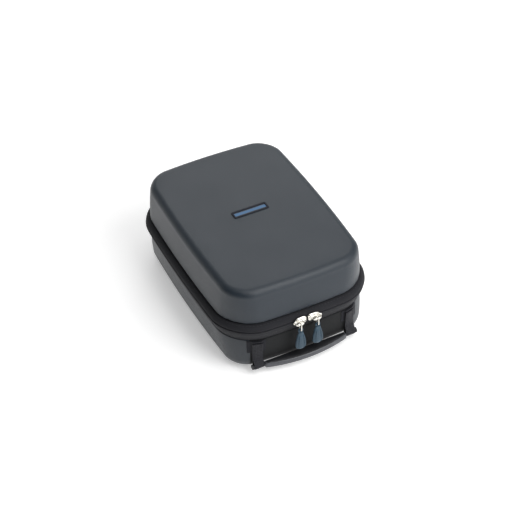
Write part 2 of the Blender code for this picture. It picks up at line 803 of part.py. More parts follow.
def build_handle():
    """Moulded arched grip with round end bars, and the soft pad on top of it."""
    axis = (0, handle_axis_y(), HANDLE_HEIGHT)
    half_thickness = HANDLE_THICKNESS / 2
    underside = HANDLE_HEIGHT - half_thickness
    core = prism("handle_core", arch_points(0), underside, underside + HANDLE_THICKNESS, "handle")
    bevel(core, HANDLE_EDGE, 2, 60)
    for side in (-1, 1):
        outer = side * HANDLE_HALF_SPAN
        inner = side * (HANDLE_ARCH_HALF - HANDLE_END_REACH)
        start = (min(outer, inner), axis[1], axis[2])
        bar = rod("handle_bar_cutter", start, abs(outer - inner), HANDLE_BAR_RADIUS, "handle")
        boolean(core, make_cutter(bar), "UNION")
        stop_start = outer - HANDLE_STOP_LENGTH if side > 0 else outer
        stop_start = (stop_start, *axis[1:])
        stop = rod("handle_stop_cutter", stop_start, HANDLE_STOP_LENGTH, HANDLE_STOP_RADIUS, "handle")
        boolean(core, make_cutter(stop), "UNION")
    set_origin(core, axis)
    low = HANDLE_HEIGHT + half_thickness + GAP
    pad = prism("handle_pad", arch_points(HANDLE_PAD_MARGIN), low, low + HANDLE_PAD_THICKNESS, "tape")
    set_origin(pad, axis)


def webbing_path(x):
    """Y and Z along the middle of the webbing at x: down the wall, round the handle's bar and up."""
    axis = handle_axis_y()
    radius = HANDLE_BAR_RADIUS + GAP + WEB_THICKNESS / 2
    off_wall = PATCH_THICKNESS + 2 * GAP + WEB_THICKNESS / 2
    top = BASE_TOP - WEB_TOP_BELOW_BAND
    path = []
    for z in (top, (top + WEB_LAP_TOP) / 2, WEB_LAP_TOP, WEB_LEAVES_WALL):
        path.append((front_face(x, z) - off_wall, z))
    steps = 8
    for k in range(steps + 1):
        angle = -math.pi * k / steps
        path.append((axis + radius * math.cos(angle), HANDLE_HEIGHT + radius * math.sin(angle)))
    lap = WEB_THICKNESS + GAP
    for z in (WEB_LEAVES_WALL, WEB_LAP_TOP - GAP):
        path.append((front_face(x, z) - off_wall - lap, z))
    return path


def build_webbing(side, name):
    """A sewn patch on the case's front and the webbing over it that holds one end of the handle."""
    middle = side * (HANDLE_HALF_SPAN - HANDLE_STOP_LENGTH - GAP - WEB_WIDTH / 2)
    steps = 3
    across = [middle + WEB_WIDTH * (k / steps - 0.5) for k in range(steps + 1)]
    runs = [webbing_path(x) for x in across]
    rows = [[(x, *run[k]) for x, run in zip(across, runs)] for k in reversed(range(len(runs[0])))]
    web = loft("handle_webbing_" + name, rows, "tape", ring=False)
    solidify(web, WEB_THICKNESS, offset=0)

    top = BASE_TOP - WEB_TOP_BELOW_BAND
    steps = 4
    across = [middle + PATCH_WIDTH * (k / steps - 0.5) for k in range(steps + 1)]
    rows = []
    for k in range(3):
        z = top - PATCH_HEIGHT * (1 - k / 2)
        rows.append([(x, front_face(x, z) - GAP - PATCH_THICKNESS, z) for x in across])
    patch = loft("handle_patch_" + name, rows, "tape", ring=False)
    solidify(patch, PATCH_THICKNESS)


LID_PIECES = (
    "lid_shell",
    "lid_lining",
    "lid_pad",
    "lid_rim_binding",
    "net_pocket",
    "net_pocket_hem",
    "zip_tape_upper",
    "zip_coil_upper",
    "hinge_strip_upper",
    "badge_frame",
    "badge_insert",
)
PARTS = None
CUTTERS = None


def main():
    """Build the whole case."""
    build_base()
    build_lid()
    build_badge()
    build_tapes()
    for side, name in ((-1, "left"), (1, "right")):
        build_slider(side, name)
        build_pull(side, name)
        build_webbing(side, name)
    build_handle()
    for name in LID_PIECES:
        set_origin(PARTS.objects[name], lid_hinge())


clear_scene()
PARTS = new_collection("launch_monitor_case")
CUTTERS = new_collection("cutters")
main()
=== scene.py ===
"""The looks of a moulded zip-round carry case that holds a golf launch monitor.

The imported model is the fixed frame: it says where each piece is and which body it moves with. This
script builds the surfaces that show round it: cloth-faced shells, woven zip tapes with their coils and
stitching, cast sliders with ribbed pulls, a webbing-hung handle, and the fitted inside. Every size is
in metres. X runs across the case, the handle and the pulls are at -Y, and Z is up.
"""

import functools
import json
import logging
import math
from dataclasses import dataclass, field
from enum import Enum
from typing import Callable, NamedTuple, Sequence

import bmesh
import bpy
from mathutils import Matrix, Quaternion, Vector


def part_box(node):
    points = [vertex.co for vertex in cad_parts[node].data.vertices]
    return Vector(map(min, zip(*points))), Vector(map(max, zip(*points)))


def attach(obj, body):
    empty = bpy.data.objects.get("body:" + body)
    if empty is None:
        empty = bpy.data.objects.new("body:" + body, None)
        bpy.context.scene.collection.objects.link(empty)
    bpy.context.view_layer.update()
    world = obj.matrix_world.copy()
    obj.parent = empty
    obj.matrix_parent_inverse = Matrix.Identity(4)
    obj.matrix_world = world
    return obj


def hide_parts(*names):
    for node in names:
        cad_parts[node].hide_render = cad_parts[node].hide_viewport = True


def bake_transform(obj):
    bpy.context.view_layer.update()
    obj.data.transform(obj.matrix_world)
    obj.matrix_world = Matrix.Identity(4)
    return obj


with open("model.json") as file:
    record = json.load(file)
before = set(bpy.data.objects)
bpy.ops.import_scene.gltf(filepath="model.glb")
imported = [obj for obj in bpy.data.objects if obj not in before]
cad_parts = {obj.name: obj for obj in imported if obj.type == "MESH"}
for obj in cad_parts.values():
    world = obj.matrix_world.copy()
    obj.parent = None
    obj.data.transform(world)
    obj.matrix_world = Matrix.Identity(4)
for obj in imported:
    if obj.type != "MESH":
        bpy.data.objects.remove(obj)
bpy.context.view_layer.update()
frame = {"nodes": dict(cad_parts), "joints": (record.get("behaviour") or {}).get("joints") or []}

Colour = tuple[float, float, float]
Pair = tuple[float, float]
Row = list[Vector]
Placer = Callable[[float, float, float], Vector]

UP = Vector((0, 0, 1))
ACROSS = Vector((1, 0, 0))
CLEAR = 0.0003
log = logging.getLogger("carry_case")


class Body(str, Enum):
    """The bodies of the case that move as one."""

    BASE = "base"
    LID = "lid"
    SLIDER_LEFT = "slider_left"
    SLIDER_RIGHT = "slider_right"
    PULL_LEFT = "pull_left"
    PULL_RIGHT = "pull_right"
    HANDLE = "handle"


class Side(Enum):
    """The left and right copy of a paired piece, with its sign along X."""

    LEFT = -1
    RIGHT = 1

    @property
    def word(self) -> str:
        """The side's name as it stands in a piece's name."""
        return self.name.lower()


class Half(Enum):
    """The half of the zip band that goes with the lid or with the base."""

    LOWER = -1
    UPPER = 1

    @property
    def word(self) -> str:
        """The half's name as it stands in a piece's name."""
        return self.name.lower()

    @property
    def body(self) -> Body:
        """The body that this half moves with."""
        return Body.LID if self is Half.UPPER else Body.BASE


# ---- Shader tools ---------------------------------------------------------------------------------
class Wire:
    """The output of a node, which takes part in Python expressions as a number does."""

    def __init__(self, bench: "Bench", socket: bpy.types.NodeSocket) -> None:
        """Wrap a socket."""
        self.bench = bench
        self.socket = socket

    def maths(self, operation: str, *operands: "Wire | float") -> "Wire":
        """Join operands with one Math node."""
        return self.bench.node("ShaderNodeMath", {"operation": operation}, dict(enumerate(operands)))

    def __add__(self, other: "Wire | float") -> "Wire":
        """Self plus other."""
        return self.maths("ADD", self, other)

    def __radd__(self, other: float) -> "Wire":
        """Other plus self."""
        return self.maths("ADD", other, self)

    def __sub__(self, other: "Wire | float") -> "Wire":
        """Self minus other."""
        return self.maths("SUBTRACT", self, other)

    def __rsub__(self, other: float) -> "Wire":
        """Other minus self."""
        return self.maths("SUBTRACT", other, self)

    def __mul__(self, other: "Wire | float") -> "Wire":
        """Self times other."""
        return self.maths("MULTIPLY", self, other)

    def __rmul__(self, other: float) -> "Wire":
        """Other times self."""
        return self.maths("MULTIPLY", other, self)

    def __pow__(self, other: float) -> "Wire":
        """Self raised to a power."""
        return self.maths("POWER", self, other)

    def __abs__(self) -> "Wire":
        """Self without its sign."""
        return self.maths("ABSOLUTE", self)

    def __gt__(self, other: float) -> "Wire":
        """1 where self is above other, and 0 elsewhere."""
        return self.maths("GREATER_THAN", self, other)

    def __lt__(self, other: float) -> "Wire":
        """1 where self is below other, and 0 elsewhere."""
        return self.maths("LESS_THAN", self, other)

    def wave(self, pitch: float) -> "Wire":
        """A sine of self that crosses 0 once in each pitch."""
        return self.maths("SINE", self * (math.pi / pitch))


class Bench:
    """One material's node tree, with its shader and its output."""

    def __init__(self, name: str) -> None:
        """Start a material.

        Args:
            name: The material's name.
        """
        self.material = bpy.data.materials.new(name)
        self.material.use_nodes = True
        self.tree = self.material.node_tree
        self.tree.nodes.clear()
        self.shader = self.tree.nodes.new("ShaderNodeBsdfPrincipled")
        output = self.tree.nodes.new("ShaderNodeOutputMaterial")
        self.tree.links.new(self.shader.outputs[0], output.inputs["Surface"])

    def feed(self, socket: bpy.types.NodeSocket, value: object) -> None:
        """Link a wire to a socket, or set the socket's own value.

        Args:
            socket: The input to feed.
            value: A Wire, a number or a tuple.
        """
        if isinstance(value, Wire):
            self.tree.links.new(value.socket, socket)
        else:
            socket.default_value = value

    def node(
        self,
        kind: str,
        settings: dict[str, object] | None = None,
        sockets: dict[object, object] | None = None,
        output: str | int = 0,
    ) -> Wire:
        """Add a node.

        Args:
            kind: The node's type.
            settings: Its properties, set first. "stops" holds a ramp's (place, brightness) pairs.
            sockets: Values or wires of its inputs, by name or number.
            output: The output to return.

        Returns:
            The chosen output.
        """
        made = self.tree.nodes.new(kind)
        for key, value in (settings or {}).items():
            if key == "stops":
                self._set_stops(made, value)
            else:
                setattr(made, key, value)
        for key, value in (sockets or {}).items():
            self.feed(made.inputs[key], value)
        return Wire(self, made.outputs[output])

    @staticmethod
    def _set_stops(ramp: bpy.types.Node, stops: Sequence[Pair]) -> None:
        """Give a colour ramp its stops.

        Args:
            ramp: The ramp node.
            stops: Its (place, brightness) pairs, in order.
        """
        elements = ramp.color_ramp.elements
        while len(elements) < len(stops):
            elements.new(1.0)
        for element, (place, bright) in zip(elements, stops):
            element.position = place
            element.color = (bright, bright, bright, 1)

    def shade(self, **sockets: object) -> None:
        """Feed the shader's sockets, named with _ for each space and in any case.

        Args:
            sockets: Values or wires.
        """
        by_name = {s.name.lower().replace(" ", "_"): s for s in self.shader.inputs}
        for name, value in sockets.items():
            self.feed(by_name[name], value)

    def mix(self, factor: Wire | float, first: object, second: object) -> Wire:
        """Blend two colours."""
        sockets = {0: factor, 6: first, 7: second}
        return self.node("ShaderNodeMix", {"data_type": "RGBA"}, sockets, output=2)

    def place(self) -> Wire:
        """The point on the piece, in metres."""
        return self.node("ShaderNodeTexCoord", output="Object")

    def grain(self, size: float, detail: float = 2.0, stops: Sequence[Pair] = ()) -> Wire:
        """Even mottling through the piece.

        Args:
            size: How far apart its patches are, in metres.
            detail: How many finer layers it has.
            stops: Pairs of a ramp that it is read through, if any.

        Returns:
            A value from 0 to 1.
        """
        sockets = {"Vector": self.place(), "Scale": 1 / size, "Detail": detail}
        value = self.node("ShaderNodeTexNoise", None, sockets, output=0)
        if not stops:
            return value
        return self.node("ShaderNodeValToRGB", {"stops": stops}, {"Fac": value}, output="Color")

    def run(self) -> tuple[Wire, Wire]:
        """The distances along and across the piece that its map holds, in metres."""
        return self.split(self.node("ShaderNodeUVMap", {"uv_map": Panel.MAP}))

    def split(self, place: Wire) -> tuple[Wire, Wire]:
        """The X and the Y of a place."""
        first = self.node("ShaderNodeSeparateXYZ", None, {0: place}, output="X")
        return first, Wire(self, first.socket.node.outputs["Y"])

    def weave(self, along: float, across: float) -> tuple[Wire, Wire]:
        """A plain weave on the piece's map.

        Args:
            along: Pitch of the threads that lie side by side along the piece.
            across: Pitch of the threads that lie side by side across it.

        Returns:
            The height of the threads, from 0 to 1, and 1 where the crossing thread is on top.
        """
        run, rise = self.run()
        crossing = run.wave(along) * rise.wave(across)
        return abs(crossing) ** 0.5, crossing > 0.0

    def bump(self, height: Wire, depth: float, strength: float = 1.0) -> Wire:
        """Turn a height into a surface normal."""
        return self.node("ShaderNodeBump", None, {"Strength": strength, "Distance": depth, "Height": height})


# ---- Finishes -------------------------------------------------------------------------------------
@dataclass(frozen=True)
class Finish:
    """What every finish has.

    Attributes:
        name: The material's name.
        slot: The record's material slot that it belongs to. Not used.
        colour: Its main colour.
        rough: Its main roughness.
    """

    name: str
    slot: str
    colour: Colour
    rough: float

    def tone(self, factor: float) -> tuple[float, float, float, float]:
        """The main colour made lighter or darker by a factor."""
        red, green, blue = (min(1.0, part * factor) for part in self.colour)
        return red, green, blue, 1.0

    def dress(self, bench: Bench) -> None:
        """Set the shader of a material."""
        raise NotImplementedError


@functools.cache
def material_of(finish: Finish) -> bpy.types.Material:
    """The material of a finish, made once.

    Args:
        finish: The finish.

    Returns:
        Its material.
    """
    bench = Bench(finish.name)
    finish.dress(bench)
    return bench.material


@dataclass(frozen=True)
class LaminatedCloth(Finish):
    """Fine coated cloth bonded to a moulded foam shell.

    Attributes:
        thread: Pitch of its threads.
        relief: Depth of its weave.
        sheen: Weight of the soft glow at its edges.
    """

    thread: float = 0.00052
    relief: float = 0.00005
    sheen: float = 0.10

    def dress(self, bench: Bench) -> None:
        """Fine weave, soft mottling and lightly rubbed patches.

        Args:
            bench: The material's node tree.
        """
        height, crossing = bench.weave(self.thread, self.thread)
        mottle = bench.grain(0.0016, 3.0, ((0.30, 0.0), (0.70, 1.0)))
        cloud = bench.grain(0.045, 2.0, ((0.35, 0.0), (0.75, 1.0)))
        threads = bench.mix(crossing, self.tone(0.93), self.tone(1.07))
        spotted = bench.mix(mottle * 0.20, threads, self.tone(1.35))
        colour = bench.mix(cloud * 0.16, spotted, self.tone(0.70))
        leather = bench.grain(0.0008, 2.0)
        bench.shade(
            base_color=colour,
            roughness=self.rough + cloud * 0.05 - mottle * 0.04,
            normal=bench.bump(height * 0.75 + leather * 0.6, self.relief),
            sheen_weight=self.sheen,
            sheen_roughness=0.45,
            specular_ior_level=0.5,
        )


@dataclass(frozen=True)
class PanelledCloth(LaminatedCloth):
    """The same cloth, with painted shade darkening its front between the ends of the handle, where the band
    and the handle shade the wall.

    Attributes:
        half_panel: Half the width of the painted shade.
        panel_front: The painted shade covers what is nearer the front than this Y.
        panel_tone: How dark the painted shade is against the cloth.
    """

    half_panel: float = 0.0560
    panel_front: float = -0.0980
    panel_tone: float = 0.12

    def dress(self, bench: Bench) -> None:
        """The plain cloth, with painted shade over its front between the handle's ends, made rougher there.

        Args:
            bench: The material's node tree.
        """
        super().dress(bench)
        cloth = bench.shader.inputs["Base Color"].links[0].from_socket
        x, y = bench.split(bench.place())
        # Painted shade: the front between the handle's ends is darkened towards black and roughened,
        # standing in for the shade of the band and the handle.
        inside = (abs(x) < self.half_panel) * (y < self.panel_front)
        bench.shade(base_color=bench.mix(inside, Wire(bench, cloth), self.tone(self.panel_tone)))
        bench.shade(roughness=self.rough + inside * 0.5)


@dataclass(frozen=True)
class WovenTape(Finish):
    """Zip tape: close ribs along its length, crossed by fine weft.

    Attributes:
        rib: Pitch of the ribs, across the tape.
        weft: Pitch of the weft, along it.
        relief: Depth of the ribs.
    """

    rib: float = 0.00085
    weft: float = 0.00055
    relief: float = 0.00011

    def dress(self, bench: Bench) -> None:
        """Ribs, weft, a little dust, and painted shade in the grooves with a painted highlight on the rib
        crests.

        Args:
            bench: The material's node tree.
        """
        run, rise = bench.run()
        ribs = abs(rise.wave(self.rib))
        height = ribs * 0.7 + abs(run.wave(self.weft)) * 0.3
        # Painted shade and highlight: the colour is darker in the grooves between the ribs and lighter on
        # their crests.
        rib_shade_and_highlight = bench.mix(ribs, self.tone(0.6), self.tone(1.35))
        dust = bench.grain(0.0030, 3.0, ((0.45, 0.0), (0.85, 1.0)))
        bench.shade(
            base_color=bench.mix(dust * 0.25, rib_shade_and_highlight, self.tone(1.9)),
            roughness=self.rough + dust * 0.08,
            normal=bench.bump(height, self.relief),
            sheen_weight=0.04,
            sheen_roughness=0.5,
            specular_ior_level=0.32,
        )


@dataclass(frozen=True)
class RibbedWebbing(Finish):
    """Heavy woven strap with bars across it that read as rows of dots.

    Attributes:
        bar: Pitch of the bars, along the strap.
        cord: Pitch of the cords, across it.
        relief: Depth of the bars.
    """

    bar: float = 0.0021
    cord: float = 0.0015
    relief: float = 0.00028

    def dress(self, bench: Bench) -> None:
        """Dotted bars with a painted highlight on the crown of each.

        Args:
            bench: The material's node tree.
        """
        run, rise = bench.run()
        dots = abs(run.wave(self.cord)) * abs(rise.wave(self.bar))
        crown = dots**2.0
        fluff = bench.grain(0.0011, 3.0)
        bench.shade(
            # Painted highlight: the crown of each dot is made far lighter, standing in for the light spots
            # on the webbing's ribs.
            base_color=bench.mix(crown * 0.8, self.tone(0.7), self.tone(2.4)),
            roughness=self.rough - crown * 0.12,
            normal=bench.bump(dots * 0.85 + fluff * 0.15, self.relief),
            sheen_weight=0.06,
            sheen_roughness=0.4,
            specular_ior_level=0.35,
        )


@dataclass(frozen=True)
class BrushedKnit(Finish):
    """Soft raised lining cloth.

    Attributes:
        tuft: Size of its tufts.
        relief: Depth of its pile.
    """

    tuft: float = 0.0009
    relief: float = 0.00018

    def dress(self, bench: Bench) -> None:
        """Tufts over a slow nap that lies both ways.

        Args:
            bench: The material's node tree.
        """
        pile = bench.grain(self.tuft, 3.0)
        nap = bench.grain(0.022, 2.0, ((0.35, 0.0), (0.70, 1.0)))
        bench.shade(
            base_color=bench.mix(nap * 0.5 + pile * 0.3, self.tone(0.75), self.tone(1.6)),
            roughness=self.rough - nap * 0.06,
            normal=bench.bump(pile, self.relief),
            sheen_weight=0.35,
            sheen_roughness=0.6,
        )


@dataclass(frozen=True)
class CellFoam(Finish):
    """Closed-cell foam with open cut cells on its faces.

    Attributes:
        cell: Size of a cell.
        relief: Depth of the cut cells.
    """

    cell: float = 0.0011
    relief: float = 0.00022

    def dress(self, bench: Bench) -> None:
        """Rounded cells, each a slightly other grey.

        Args:
            bench: The material's node tree.
        """
        sockets = {"Vector": bench.place(), "Scale": 1 / self.cell}
        cells = bench.node("ShaderNodeTexVoronoi", None, sockets, output="Distance")
        cloud = bench.grain(0.012, 2.0)
        bench.shade(
            base_color=bench.mix(cells * 0.6 + cloud * 0.2, self.tone(1.4), self.tone(0.6)),
            roughness=self.rough - cells * 0.08,
            normal=bench.bump(cells, self.relief),
        )


@dataclass(frozen=True)
class CastMetal(Finish):
    """Tumbled and plated zinc.

    Attributes:
        pit: Size of the cast texture.
        relief: Depth of that texture.
    """

    pit: float = 0.0011
    relief: float = 0.00006

    def dress(self, bench: Bench) -> None:
        """Bright metal with tarnish in its hollows.

        Args:
            bench: The material's node tree.
        """
        casting = bench.grain(self.pit, 3.0)
        tarnish = bench.grain(0.0021, 2.0, ((0.45, 0.0), (0.80, 1.0)))
        bench.shade(
            base_color=bench.mix(tarnish * 0.5, self.tone(1.0), self.tone(0.45)),
            roughness=self.rough + tarnish * 0.22,
            normal=bench.bump(casting, self.relief),
            metallic=1.0,
        )


@dataclass(frozen=True)
class MouldedRubber(Finish):
    """Soft moulded plastic with a fine spark-eroded grain.

    Attributes:
        pit: Size of the grain.
        relief: Depth of the grain.
        gloss: Weight of the clear skin on it.
    """

    pit: float = 0.0005
    relief: float = 0.00003
    gloss: float = 0.15

    def dress(self, bench: Bench) -> None:
        """Grain, and a slow change from matt to rubbed.

        Args:
            bench: The material's node tree.
        """
        skin = bench.grain(self.pit, 2.0)
        rubbed = bench.grain(0.009, 3.0, ((0.40, 0.0), (0.75, 1.0)))
        bench.shade(
            base_color=bench.mix(rubbed * 0.35 + skin * 0.2, self.tone(0.85), self.tone(1.4)),
            roughness=self.rough - rubbed * 0.10 + skin * 0.06,
            normal=bench.bump(skin, self.relief),
            coat_weight=self.gloss,
            coat_roughness=0.3,
        )


@dataclass(frozen=True)
class StripedFilm(Finish):
    """Satin film printed with fine stripes along the badge.

    Attributes:
        stripe: Pitch of the stripes.
    """

    stripe: float = 0.0011

    def dress(self, bench: Bench) -> None:
        """Light and dark stripes under a satin skin.

        Args:
            bench: The material's node tree.
        """
        _, rise = bench.run()
        lines = abs(rise.wave(self.stripe)) ** 3.0
        brushed = bench.grain(0.0007, 3.0)
        bench.shade(
            base_color=bench.mix(lines * 0.6 + brushed * 0.2, self.tone(0.8), self.tone(1.9)),
            roughness=self.rough + brushed * 0.1,
            normal=bench.bump(lines, 0.00004),
            coat_weight=0.3,
            coat_roughness=0.25,
        )


@dataclass(frozen=True)
class OpenNet(Finish):
    """Elastic net of thin cords round diamond holes.

    Attributes:
        hole: Pitch of the holes.
        share: How much of each hole is open, from 0 to 1.
    """

    hole: float = 0.0028
    share: float = 0.38

    def dress(self, bench: Bench) -> None:
        """Cords that stay, and holes that let the lining show.

        Args:
            bench: The material's node tree.
        """
        run, rise = bench.run()
        cell = abs((run + rise).wave(self.hole)) * abs((run - rise).wave(self.hole))
        fibre = bench.grain(0.0006, 2.0)
        bench.shade(
            base_color=bench.mix(fibre, self.tone(0.7), self.tone(1.5)),
            roughness=self.rough + fibre * 0.05,
            normal=bench.bump(1.0 - cell, 0.0002),
            alpha=1.0 - (cell > self.share),
            sheen_weight=0.2,
        )


@dataclass(frozen=True)
class PaleFloor(Finish):
    """Plain matt surface that the case stands on.

    Attributes:
        glow: Its own light, which keeps it pale close to the case.
    """

    glow: float = 0.44

    def dress(self, bench: Bench) -> None:
        """One pale colour.

        Args:
            bench: The material's node tree.
        """
        bench.shade(
            base_color=self.tone(1.0),
            roughness=self.rough,
            specular_ior_level=0.0,
            emission_color=self.tone(1.0),
            emission_strength=self.glow,
        )


SHELL = LaminatedCloth("shell_cloth", "shell", (0.013, 0.021, 0.031), 0.42)
BASE_SHELL = PanelledCloth("base_shell_cloth", "shell", (0.013, 0.019, 0.027), 0.42)
TAPE = WovenTape("zip_tape_weave", "zip_tape", (0.0105, 0.0108, 0.0140), 0.78)
COIL = MouldedRubber("zip_coil_nylon", "zip_coil", (0.012, 0.012, 0.014), 0.38)
THREAD = WovenTape("sewing_thread", "zip_tape", (0.012, 0.013, 0.017), 0.65, rib=0.0003, weft=0.0004)
WEBBING = RibbedWebbing("ribbed_webbing", "webbing", (0.0075, 0.0078, 0.012), 0.62)
BINDING = WovenTape("rim_binding_weave", "webbing", (0.018, 0.018, 0.022), 0.72, rib=0.0012, weft=0.0007)
PATCH = WovenTape("handle_patch_weave", "webbing", (0.007, 0.0075, 0.012), 0.75, rib=0.0007, weft=0.0007)
KNIT = BrushedKnit("lining_knit", "lining", (0.026, 0.027, 0.031), 0.88)
FOAM = CellFoam("insert_foam", "foam", (0.034, 0.035, 0.039), 0.86)
PLATED = CastMetal("plated_zinc", "bright_metal", (0.86, 0.84, 0.78), 0.20)
PULL_RUBBER = MouldedRubber("pull_rubber", "pull_rubber", (0.016, 0.050, 0.082), 0.45)
HANDLE_SKIN = MouldedRubber("handle_edge", "handle_rubber", (0.055, 0.058, 0.068), 0.40, gloss=0.2)
HANDLE_TOP = MouldedRubber("handle_top_pad", "webbing", (0.004, 0.0045, 0.007), 0.62, gloss=0.0)
BADGE_RIM = MouldedRubber("badge_rim", "badge_rim", (0.002, 0.004, 0.012), 0.72, gloss=0.0)
BADGE_FACE = StripedFilm("badge_film", "badge_face", (0.022, 0.095, 0.210), 0.45)
NET = OpenNet("pocket_net", "net", (0.020, 0.021, 0.023), 0.75)
FLOOR = PaleFloor("pale_floor", "", (0.90, 0.90, 0.90), 0.9)


# ---- Mesh tools -----------------------------------------------------------------------------------
def lengths(points: Sequence[Vector], ring: bool = False) -> list[float]:
    """The distance from the first point to each point, and back to the first one of a ring.

    Args:
        points: Points in order.
        ring: Whether they close on themselves.

    Returns:
        One length for each point, and one more for a ring.
    """
    loop = [*points, points[0]] if ring else list(points)
    total, found = 0.0, [0.0]
    for before, after in zip(loop, loop[1:]):
        total += (after - before).length
        found.append(total)
    return found


def respaced(points: Sequence[Vector], step: float) -> Row:
    """Points at an even step along a line.

    Args:
        points: The line's own points.
        step: The distance that is wanted between points.

    Returns:
        The even points, from the line's start to its end.
    """
    marks = lengths(points)
    count = max(1, round(marks[-1] / step))
    found, k = [], 0
    for n in range(count + 1):
        at = marks[-1] * n / count
        while k < len(marks) - 2 and marks[k + 1] < at:
            k += 1
        share = (at - marks[k]) / max(marks[k + 1] - marks[k], 1e-12)
        found.append(points[k].lerp(points[k + 1], share))
    return found


def tangents(points: Sequence[Vector], ring: bool = False) -> Row:
    """The direction of a line at each of its points.

    Args:
        points: The line's points.
        ring: Whether they close on themselves.

    Returns:
        Unit vectors.
    """
    last = len(points) - 1
    found = []
    for k in range(len(points)):
        before = points[k - 1] if k > 0 or ring else points[0]
        after = points[(k + 1) % len(points)] if k < last or ring else points[last]
        found.append((after - before).normalized())
    return found


def quarter(steps: int) -> list[Pair]:
    """The (sine, cosine) pairs of a quarter turn, both ends included."""
    angles = [math.pi / 2 * k / steps for k in range(steps + 1)]
    return [(math.sin(angle), math.cos(angle)) for angle in angles]


def inset_loop(points: Sequence[Pair], depth: float) -> list[Pair]:
    """A closed plane outline drawn in by a depth.

    Args:
        points: The outline, counterclockwise.
        depth: How far each point moves in.

    Returns:
        The smaller outline.
    """
    found = []
    count = len(points)
    for k, (a, b) in enumerate(points):
        before, after = points[k - 1], points[(k + 1) % count]
        run = Vector((after[0] - before[0], after[1] - before[1])).normalized()
        found.append((a - run.y * depth, b + run.x * depth))
    return found


